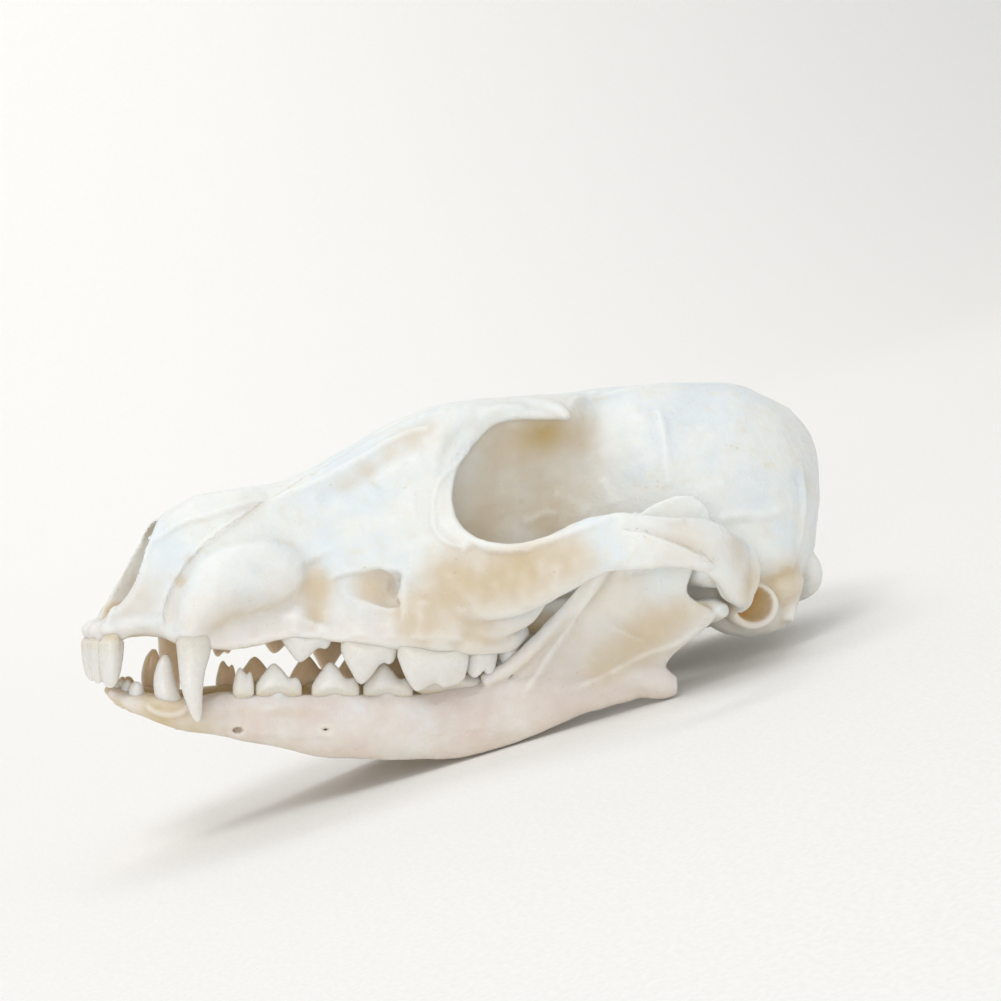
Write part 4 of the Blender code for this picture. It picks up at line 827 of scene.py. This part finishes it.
def field(co, normal, line, reach):
    """Corner points within reach of a line: which they are, how far off, along and over it they lie."""
    near = np.flatnonzero(((co > line.min(0) - reach) & (co < line.max(0) + reach)).all(1))
    own = co[near]
    square = (own * own).sum(1)[:, None] + (line * line).sum(1) - 2 * own @ line.T
    pick = square.argmin(1)
    gap = own - line[pick]
    run = np.gradient(line, axis=0)
    run /= np.linalg.norm(run, axis=1)[:, None] + 1e-9
    over = (gap * np.cross(normal[near], run[pick])).sum(1)
    far = np.sqrt(np.maximum(square[np.arange(len(near)), pick], 0))
    keep = far < reach
    return near[keep], far[keep], (pick / (len(line) - 1))[keep], over[keep]


def mark(piece, marks, sides):
    """Raises ridges and steps and sinks grooves: h exp(-(d / w)^2) along a line, or beside it
    h ((1 + tanh(s / w)) / 2 - k) exp(-(d / r)^2), both faded at the line's ends. Then waves of a few
    hundredths of a millimetre go all over."""
    co, normal = corners(piece.data)
    rise = np.zeros(len(co))
    for kind, height, wide, reach, rows in marks:
        line = draped(piece, rows)
        for side in sides:
            near, far, share, over = field(co, normal, line * (1, side, 1), max(3 * wide, 2 * reach))
            fade = ease(share, 0, MARK_FADE) * ease(1 - share, 0, MARK_FADE)
            if kind == "ridge":
                rise[near] += height * np.exp(-(far / wide) ** 2) * fade
            else:
                proud = 0.5 + 0.5 * np.tanh(side * over / wide)
                rise[near] += height * (proud - STEP_SUNK) * np.exp(-(far / reach) ** 2) * fade
    random = np.random.default_rng(WAVE_SEED)
    for length, height in BONE_WAVES:
        for _ in range(WAVE_WAYS):
            way = random.normal(size=3)
            way *= 2 * math.pi / length / np.linalg.norm(way)
            rise += 0.5 * height * np.sin(co @ way + random.uniform(0, 2 * math.pi))
    move_corners(piece.data, co + normal * rise[:, None])


def around(value, edges, count):
    """The mean of each corner point's neighbours' values."""
    first, second = edges[:, 0], edges[:, 1]
    number = np.bincount(first, minlength=count) + np.bincount(second, minlength=count)
    total = [np.bincount(first, value[second, k], count) + np.bincount(second, value[first, k], count)
             for k in range(value.shape[1])]
    return np.stack(total, axis=-1) / np.maximum(number, 1)[:, None]


def tint(piece, seams, middles, stains_and_shade, sides):
    """Numbers for the bone's material: how far a point lies under or over the evened-out surface, as hollow
    and crest, which the material draws as painted shade and a painted highlight; how stained it is, together
    with painted shade; how much painted pink shade it takes low down; and its nearest seam. A stain or patch
    of painted shade is s exp(-k (d / r)^2), and where they overlap they count as the cube root of the sum of
    their cubes, so that none shows an edge."""
    co, normal = corners(piece.data)
    count = len(co)
    edges = np.empty(len(piece.data.edges) * 2, np.int32)
    piece.data.edges.foreach_get("vertices", edges)
    edges = edges.reshape(-1, 2)
    soft, sunk = co, []
    for done in range(1, COARSE_ROUNDS + 1):
        soft = around(soft, edges, count)
        if done in (FINE_ROUNDS, COARSE_ROUNDS):
            sunk.append(((soft - co) * normal).sum(1))
    fine, coarse = sunk
    hollow = np.clip(fine / FINE_DEPTH, 0, 1) * 0.5 + np.clip(coarse / COARSE_DEPTH, 0, 1) * 0.7
    # Painted shade in deep hollows.
    cubes = (HOLLOW_PAINTED_SHADE * np.clip(coarse / COARSE_DEPTH - 0.3, 0, 1)) ** 3
    for centre, radius, strength in stains_and_shade:
        for side in sides:
            far = np.linalg.norm(co - turned(centre) * (1, side, 1), axis=1)
            cubes += (strength * np.exp(-STAIN_AND_SHADE_FALL * (far / radius) ** 2)) ** 3
    # Painted shade low on the skull and on faces turned down.
    low = LOW_PAINTED_SHADE * ease(LOW_FROM - co[:, 2], 0, LOW_OVER)
    general_shade = UNDERSIDE_PAINTED_SHADE * ease(-normal[:, 2], -0.3, 0.7) + low
    # Painted shade and warm reflected light inside the mouth; a warm tint inside the nose.
    inside = np.maximum(MOUTH_PAINTED_SHADE * mouth(co, normal), NOSE_TINT * nose(co, normal))
    near_seam, shown = np.full(count, SEAM_REACH), np.zeros(count)
    for rows, both_sides in [(rows, True) for rows in seams] + [(rows, False) for rows in middles]:
        line = draped(piece, rows)
        for side in sides if both_sides else (1,):
            near, far, share, over = field(co, normal, line * (1, side, 1), SEAM_REACH)
            closer = far < np.abs(near_seam[near])
            near, far, share, over = near[closer], far[closer], share[closer], over[closer]
            near_seam[near] = np.where(over > 0, far, -far)
            shown[near] = (ease(share, 0, SEAM_FADE) * ease(1 - share, 0, SEAM_FADE)
                           * ease(-far, -SEAM_REACH, -SEAM_FULL))
    # The material darkens the hollow number as painted shade and lightens the crest number as a painted
    # highlight.
    for name, value in (("hollow", np.clip(hollow, 0, 1)), ("crest", np.clip(-fine / CREST_DEPTH, 0, 1)),
                        # Painted shade with painted pink reflected light, low on the skull.
                        ("painted_pink_shade", ease(PINK_SHADE_FROM - co[:, 2], 0, PINK_SHADE_OVER)),
                        # Stains together with painted shade in hollows, on the underside, low down and inside
                        # the mouth.
                        ("stain_and_shade", np.maximum(np.maximum(np.cbrt(cubes), general_shade), inside)),
                        ("seam", near_seam), ("seam_shown", shown)):
        store(piece.data, name, value)


def mouth(co, normal):
    """How far a point faces the inside of the mouth, between the tooth rows and under the palate."""
    back, out, up = co[:, 0], np.abs(co[:, 1]), co[:, 2]
    row = np.interp(back, *np.array(MOUTH_HALF).T)
    inside = ease(row - out, -1.0, 0.6) * ease(back, 1, 5) * ease(95 - back, 0, 14)
    height = ease(up, -16, -9) * ease(9 - up, 0, 3)
    inward = np.maximum(-normal[:, 1] * np.sign(co[:, 1]), -normal[:, 2])
    return inside * height * ease(inward, -0.5, 0.4)


def nose(co, normal):
    """How far a point faces the inside of the nose."""
    inside = ease(8 - np.abs(co[:, 1]), 0, 1.5) * ease(60 - co[:, 0], 0, 6) * ease(co[:, 2], 3.5, 5)
    inward = -(normal[:, 1] * co[:, 1] + normal[:, 2] * (co[:, 2] - 15))
    return inside * ease(inward, -0.5, 1.5)


def finish_piece(piece, node, finish):
    """Puts a piece into the part's frame, in place of a node, with its material and not under the floor."""
    placed = seated(corners(piece.data)[0])
    placed[:, 2] = np.maximum(placed[:, 2], 0)
    move_corners(piece.data, placed)
    piece.data.shade_smooth()
    piece.data.materials.clear()
    piece.data.materials.append(finish)
    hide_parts(node)
    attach(piece, "root")


def make_teeth(prefix, teeth, canine, sense, finish):
    """Every tooth of the upper or lower jaw, each in place of its own node."""
    for word, side in (("left", 1), ("right", -1)):
        for kind, spec in {**teeth, "canine": None}.items():
            node = f"{prefix}_{word}_{kind}"
            if node == MISSING:
                continue
            if spec is None:
                rings = canine_rings(canine) * (1, side, 1)
                gum, tip = canine[1][2], canine[-1][2]
            else:
                shape = cusp_rings if spec[7] in (UPPER_MOLAR, LOWER_MOLAR) else blade_rings
                rings = shape(spec, sense, side)
                gum, tip = spec[2], spec[2] + sense * spec[5]
            piece = raw_piece(node + "_crown", [skin(rings)])
            co, normal = corners(piece.data)
            store(piece.data, "crown", np.clip((co[:, 2] - gum) / (tip - gum), -0.5, 1))
            # Golden on the tongue's side: a little stain and painted warm reflected light.
            store(piece.data, "tongue_side", ease(-normal[:, 1] * np.sign(co[:, 1]), 0.1, 0.8))
            finish_piece(piece, node, finish)


def rim_skins(teeth, sense, sides):
    """Rounded rims of bone under each tooth, with a lump between the two roots of a long one."""
    made = []
    for side in sides:
        for back, out, gum, length, width, *_ in teeth.values():
            deep = min(RIM_DEPTH, RIM_DEPTH_SHARE * length)
            eggs = [(LUMP_SHARE * length, LUMP_IN, LUMP_OVER)] if length > TWO_ROOTED else []
            for half, inward, over in eggs + [(0.5 * length + RIM_LONGER, RIM_IN, -RIM_UNDER)]:
                rings = egg_rings((back, out - inward, gum + sense * (over - deep)),
                                  (half, width / 2 + RIM_WIDER, deep), sides=20, steps=12)
                made.append(skin(rings, mirrored=side < 0))
    return made


def pit_rings(pit):
    """Rings of a small hole."""
    return egg_rings(*pit, sides=16, steps=10)


def make_bone(name, node, skins, cuts, melting, marked, tinted, sides, finish):
    """One bone in place of its node: its lumps and bars melted into one, hollowed, marked and tinted."""
    first, second, rounds, most = melting
    piece = raw_piece(name, skins)
    melt(piece, first)
    settle(piece)
    hollow_out(piece, cuts, second)
    melt(piece, second)
    soften(piece, rounds)
    settle(piece)
    mark(piece, marked, sides)
    thinned(piece, most)
    tint(piece, *tinted, sides)
    finish_piece(piece, node, finish)


def make_cranium(finish):
    """The upper skull, and the thin leaves in its nose."""
    skins = [skin(body_rings(BODY_SECTIONS, 1.0, 4)), skin(sweep_rings(FRONT_BAR))]
    for bar in CRANIUM_BARS:
        skins += both(sweep_rings(*bar))
    for egg in CRANIUM_EGGS:
        skins += both(egg_rings(*egg))
    skins += rim_skins(UPPER_TEETH, -1, (1, -1))
    cuts = [skin(nose_rings()), skin(egg_rings(*BRAIN_HOLLOW, sides=40, steps=30))]
    cuts += [skin(sweep_rings(*hollow)) for hollow in MIDDLE_HOLLOWS]
    for hollow in SIDE_HOLLOWS:
        cuts += both(sweep_rings(*hollow, sides=16, step=0.6))
    for pit in SIDE_PITS:
        cuts += both(pit_rings(pit))
    cuts += [skin(pit_rings(pit)) for pit in EMPTY_SOCKETS]
    cuts.append(skin(sweep_rings(NOSE_BITE, 2.6, BACK)))
    make_bone("cranium_bone", "cranium", skins, cuts, CRANIUM_MELT, CRANIUM_MARKS,
              (CRANIUM_SEAMS, MIDDLE_SEAMS, CRANIUM_STAINS_AND_SHADE), (1, -1), finish)
    leaves = [skin(sweep_rings(NOSE_PARTITION, 3.0, BACK))]
    for scroll in NOSE_SCROLLS:
        leaves += both(scroll_rings(*scroll))
    piece = raw_piece("nose_leaves", leaves)
    # A faint warm tint on the leaves in the nose.
    store(piece.data, "stain_and_shade", np.full(len(piece.data.vertices), LEAF_TINT))
    finish_piece(piece, "cranium", finish)


def make_jaw(word, side, finish):
    """One half of the lower jaw, squared off at the chin."""
    skins = [skin(plate_rings(JAW_PLATE), mirrored=side < 0)]
    skins += [skin(sweep_rings(*bar), mirrored=side < 0) for bar in JAW_BARS]
    skins += rim_skins(LOWER_TEETH, 1, (side,))
    square = ((-20, -40), (CHIN_GAP, -40), (CHIN_GAP, 10), (-20, 10))
    cuts = [skin([[(x, y, z) for y, z in square] for x in (-5, 60)], mirrored=side < 0)]
    cuts += [skin(pit_rings(pit), mirrored=side < 0) for pit in JAW_PITS]
    make_bone(f"{word}_lower_jaw_bone", f"{word}_lower_jaw", skins, cuts, JAW_MELT, JAW_MARKS,
              ((), (), JAW_STAINS_AND_SHADE), (side,), finish)


def colour(text):
    """The linear colour of a hex code of a screen colour."""
    value = np.array([int(text[k:k + 2], 16) for k in (1, 3, 5)]) / 255
    value = np.where(value <= 0.04045, value / 12.92, ((value + 0.055) / 1.055) ** 2.4)
    return (*value.tolist(), 1.0)


def wire(tree, node, inputs):
    """Sets a node's inputs to values or hex colours, or links them to other nodes' outputs."""
    for at, value in inputs.items():
        if isinstance(value, bpy.types.NodeSocket):
            tree.links.new(value, node.inputs[at])
        else:
            node.inputs[at].default_value = colour(value) if isinstance(value, str) else value


def add(tree, kind, out, inputs, **settings):
    """Adds a shader node with its inputs and settings, and gives its output of that name or number."""
    node = tree.nodes.new("ShaderNode" + kind)
    for name, value in settings.items():
        setattr(node, name, value)
    wire(tree, node, inputs)
    return node.outputs[out]


def weighted(tree, total, *parts):
    """A first value plus each of the others times its weight."""
    for value, weight in parts:
        total = add(tree, "Math", "Value", {0: value, 1: weight, 2: total}, operation="MULTIPLY_ADD")
    return total


def layered(tree, base, *layers):
    """Colours laid over a base in turn, each to its full share as its driver goes from low to high."""
    for driver, way, low, high, full, tone in layers:
        ends = {"Value": driver, "From Min": low, "From Max": high, "To Min": 0.0, "To Max": full}
        share = add(tree, "MapRange", "Result", ends, interpolation_type=way)
        laid = {MIX_SHARE: share, MIX_UNDER: base, MIX_OVER: tone}
        base = add(tree, "Mix", MIX_OUT, laid, data_type="RGBA")
    return base


def new_finish(name):
    """A material to fill in: itself, its nodes, its shader and the places that its patterns read."""
    made = bpy.data.materials.new(name)
    made.use_nodes = True
    tree = made.node_tree
    return made, tree, tree.nodes["Principled BSDF"], add(tree, "TexCoord", "Object", {})


def bleached_bone():
    """Fox bone, boiled, cleaned and whitened with peroxide: chalky near-white with a cool cast where it is
    smooth, ivory blotches, golden fat stains, painted warm shade in its hollows, eye sockets and mouth and
    under it, a painted pinker shade low down, a painted highlight on its crests, hair-thin seams and a fine
    grain with pores."""
    made, tree, shader, place = new_finish("peroxide_whitened_fox_bone")
    stain_and_shade, hollow, crest, painted_pink_shade, seam, shown = (
        add(tree, "Attribute", "Fac", {}, attribute_type="GEOMETRY", attribute_name=name)
        for name in ("stain_and_shade", "hollow", "crest", "painted_pink_shade", "seam", "seam_shown"))
    # Noise: size of its blotches in millimetres, detail and roughness. Real grain and pores are finer, and
    # are drawn as coarse as they need to be to show.
    cloud, fleck, grain, patch, blush, wander, spread, dimple, swell = (
        add(tree, "TexNoise", "Fac",
            {"Vector": place, "Scale": 1 / (size * MM), "Detail": detail, "Roughness": rough})
        for size, detail, rough in (
            (14, 4, 0.5), (3.4, 5, 0.6), (0.55, 4, 0.6), (6, 4, 0.6), (9, 3, 0.5), (1.1, 3, 0.6),
            (9, 2, 0.5), (1.9, 3, 0.55), (5.5, 4, 0.6)))
    cells = add(tree, "TexVoronoi", "Distance",
                {"Vector": place, "Scale": 1 / (PORE_GAP * MM), "Randomness": 1.0})
    # A seam is drawn where the distance from it, wandering to and fro, is next to nothing.
    astray = weighted(tree, -0.5 * SEAM_WANDER, (wander, SEAM_WANDER), (seam, 1.0))
    off = add(tree, "Math", "Value", {0: astray}, operation="ABSOLUTE")
    # Each value carried from low..high to start..end.
    mottle, flush, hair, pit, porous = (
        add(tree, "MapRange", "Result",
            {"Value": value, "From Min": low, "From Max": high, "To Min": start, "To Max": end},
            interpolation_type=SOFTLY)
        for value, low, high, start, end in (
            (patch, 0.25, 0.62, 0.0, 1.25), (blush, 0.1, 0.62, 0.0, 0.85), (off, 0.03, 0.2, 1.0, 0.0),
            (cells, 0.05, 0.15, 1.0, 0.0), (spread, 0.5, 0.66, 0.0, 1.0)))
    # The painted pink shade low down is broken up by noise.
    patchy, pink_shade, thread, pore = (
        add(tree, "Math", "Value", {0: first, 1: second}, operation="MULTIPLY")
        for first, second in ((stain_and_shade, mottle), (painted_pink_shade, flush), (shown, hair), (porous, pit)))
    # Stains and painted shade, with a little more painted shade in the hollows.
    full = weighted(tree, 0.0, (stain_and_shade, 0.86), (patchy, 0.1), (hollow, 0.1))
    height = weighted(tree, 0.0, (grain, 0.08), (dimple, 0.26), (swell, 0.62), (pore, -0.12), (thread, -0.08))
    wire(tree, shader, {
        "Base Color": layered(
            tree, "#EBECE8",
            (cloud, SOFTLY, 0.42, 0.62, 1.0, "#E2E8EA"), (fleck, SOFTLY, 0.52, 0.74, 0.45, "#E6DCC9"),
            # A painted pinker shade low down; then stains with painted shade, from beige through golden to
            # orange.
            (pink_shade, EVENLY, 0.0, 1.0, 1.0, "#DAC9C0"), (full, SOFTLY, 0.02, 0.5, 1.0, "#D8CAB4"),
            (full, SOFTLY, 0.36, 0.86, 1.0, "#CDB787"), (full, SOFTLY, 0.74, 1.15, 1.0, "#D8994F"),
            # Seams a little darker; crests painted a shade whiter as a painted highlight.
            (thread, EVENLY, 0.0, 1.0, 0.3, "#C9B288"), (crest, EVENLY, 0.0, 1.0, 0.3, "#F4F5F3"),
            (pore, EVENLY, 0.0, 1.0, 0.18, "#C9AE83")),
        "Roughness": weighted(tree, 0.42, (grain, 0.24)), "Specular IOR Level": 0.4,
        "Subsurface Weight": 0.45, "Subsurface Radius": DEPTH_TINT, "Subsurface Scale": 1.5 * MM,
        "Normal": add(tree, "Bump", "Normal", {"Height": height, "Distance": MM, "Strength": 0.8})})
    return made


def worn_enamel():
    """Fox tooth enamel, whitened with the skull and worn by use: glossy milk white, ivory and a little
    stained towards the neck, golden on the tongue's side as a little stain and painted warm reflected light,
    with faint upright streaks."""
    made, tree, shader, place = new_finish("whitened_fox_tooth_enamel")
    crown, tongue_side = (
        add(tree, "Attribute", "Fac", {}, attribute_type="GEOMETRY", attribute_name=name)
        for name in ("crown", "tongue_side"))
    upright = add(tree, "Mapping", "Vector", {
        "Vector": place, "Rotation": (0.0, -REST_PITCH, 0.0), "Scale": (1.0, 1.0, STREAK_STRETCH)})
    # Noise: where it is read, size of its blotches in millimetres, detail and roughness. Real streaks are
    # finer, and are drawn as coarse as they need to be to show.
    streak, patch, dimple = (
        add(tree, "TexNoise", "Fac",
            {"Vector": where, "Scale": 1 / (size * MM), "Detail": detail, "Roughness": rough})
        for where, size, detail, rough in (
            (upright, 0.5, 3, 0.6), (place, 2.2, 3, 0.5), (place, 1.2, 2, 0.5)))
    height = weighted(tree, 0.0, (streak, 0.03), (dimple, 0.03))
    wire(tree, shader, {
        "Base Color": layered(
            tree, "#D9CDB6",
            (crown, SOFTLY, -0.12, 0.02, 1.0, "#DDD8CC"), (crown, SOFTLY, 0.0, 0.35, 1.0, "#E3E1DC"),
            (streak, SOFTLY, 0.5, 0.72, 0.08, "#D6CCB9"), (patch, SOFTLY, 0.45, 0.7, 0.3, "#D8D0C6"),
            # Golden on the tongue's side: a little stain and painted warm reflected light.
            (tongue_side, EVENLY, 0.0, 1.0, 0.5, "#E6BF80")),
        "Roughness": weighted(tree, 0.2, (patch, 0.16)),
        "Subsurface Weight": 0.5, "Subsurface Radius": DEPTH_TINT, "Subsurface Scale": 2.0 * MM,
        "Normal": add(tree, "Bump", "Normal", {"Height": height, "Distance": MM, "Strength": 0.35})})
    return made


def backdrop_paper():
    """Matt white background paper: even, with the faintest cloudiness."""
    made, tree, shader, place = new_finish("matt_white_background_paper")
    fibre = add(tree, "TexNoise", "Fac",
                {"Vector": place, "Scale": 1 / (0.8 * MM), "Detail": 4, "Roughness": 0.5})
    wire(tree, shader, {
        "Base Color": layered(tree, "#FAF8F5", (fibre, SOFTLY, 0.3, 0.7, 1.0, "#F5F3F0")),
        "Roughness": 0.95, "Specular IOR Level": 0.1})
    return made


def towards_camera():
    """The direction on the skull from the point that the camera stands square to, level, towards it."""
    yaw = math.radians(VIEW_YAW)
    return np.array((-math.sin(yaw), math.cos(yaw), 0))


def eye_point():
    """Where the camera stands, in millimetres of the skull with the animal's left at -Y."""
    return turned(np.array(VIEW_TARGET) + towards_camera() * VIEW_DISTANCE)


def photo_camera():
    """The camera at the place the photo was taken from, carried along with the resting skull. Gives its axes:
    right, up and back."""
    roll = math.radians(VIEW_ROLL)
    ahead, up = -towards_camera(), np.array((0, 0, 1.0))
    right = np.cross(up, ahead)
    right, up = right * math.cos(roll) + up * math.sin(roll), up * math.cos(roll) - right * math.sin(roll)
    pan, tilt = (math.atan2(at - PICTURE / 2, FOCAL) for at in TARGET_PIXEL)
    right, ahead = (right * math.cos(pan) + ahead * math.sin(pan),
                    ahead * math.cos(pan) - right * math.sin(pan))
    up, ahead = up * math.cos(tilt) - ahead * math.sin(tilt), ahead * math.cos(tilt) + up * math.sin(tilt)
    origin = seated(eye_point())
    axes = np.array([seated(eye_point() + turned(axis)) - origin for axis in (right, up, -ahead)]) / MM
    lens = bpy.data.cameras.new("camera")
    lens.sensor_width = FILM
    lens.lens = FOCAL / PICTURE * FILM
    lens.clip_start = 0.01
    made = bpy.data.objects.new("camera", lens)
    bpy.context.scene.collection.objects.link(made)
    turn = np.eye(4)
    turn[:3, :3] = axes.T
    turn[:3, 3] = origin
    made.matrix_world = Matrix(turn.tolist())
    bpy.context.scene.camera = made
    return axes


def soft_lamp(name, place, aim, size, power):
    """A round lamp of that size in metres and power in watts, turned towards a point."""
    light = bpy.data.lights.new(name, "AREA")
    light.shape = "DISK"
    light.size = size
    light.energy = power
    lamp = bpy.data.objects.new(name, light)
    bpy.context.scene.collection.objects.link(lamp)
    lamp.location = place
    lamp.rotation_euler = Vector(np.subtract(place, aim)).to_track_quat("Z", "Y").to_euler()


def make_stage(camera_axes):
    """A pale floor that curves up into a pale wall, and soft studio light."""
    turn = np.linspace(0, math.pi / 2, 16)
    rise = np.linspace(FLOOR_ROUND + 0.1, FLOOR_TOP, 8)
    line = np.vstack([np.c_[np.linspace(FLOOR_START, FLOOR_CURVE, 20), np.zeros(20)],
                      np.c_[FLOOR_CURVE + FLOOR_ROUND * np.sin(turn), FLOOR_ROUND * (1 - np.cos(turn))],
                      np.c_[np.full(8, FLOOR_CURVE + FLOOR_ROUND), rise]])
    x, k = np.meshgrid(np.linspace(-FLOOR_SIDE, FLOOR_SIDE, 21), np.arange(len(line)))
    points = np.stack([x, line[k, 0], line[k, 1] - FLOOR_GAP], axis=-1)
    index = np.arange(x.size).reshape(x.shape)
    quads = np.stack([index[:-1, :-1], index[:-1, 1:], index[1:, 1:], index[1:, :-1]], -1).reshape(-1, 4)
    mesh = bpy.data.meshes.new("studio_floor")
    mesh.from_pydata(points.reshape(-1, 3).tolist(), [], quads.tolist())
    mesh.shade_smooth()
    floor = bpy.data.objects.new("studio_floor", mesh)
    bpy.context.scene.collection.objects.link(floor)
    mesh.materials.append(backdrop_paper())
    world = bpy.data.worlds.new("studio")
    bpy.context.scene.world = world
    world.use_nodes = True
    tree = world.node_tree
    wire(tree, tree.nodes["Background"], {"Color": DAYLIGHT, "Strength": DAYLIGHT_STRENGTH})
    right, up, back = camera_axes
    for name, (behind, beside, above, size, power) in LAMPS.items():
        place = np.array(LAMP_AIM) + behind * back + beside * right + above * up
        soft_lamp(name, place, LAMP_AIM, size, power)
    soft_lamp("backdrop_light", *BACKDROP_LAMP)


bone = bleached_bone()
enamel = worn_enamel()
make_cranium(bone)
make_jaw("left", 1, bone)
make_jaw("right", -1, bone)
make_teeth("upper", UPPER_TEETH, UPPER_CANINE, -1, enamel)
make_teeth("lower", LOWER_TEETH, LOWER_CANINE, 1, enamel)
make_stage(photo_camera())
bpy.context.scene.view_settings.view_transform = "Standard"
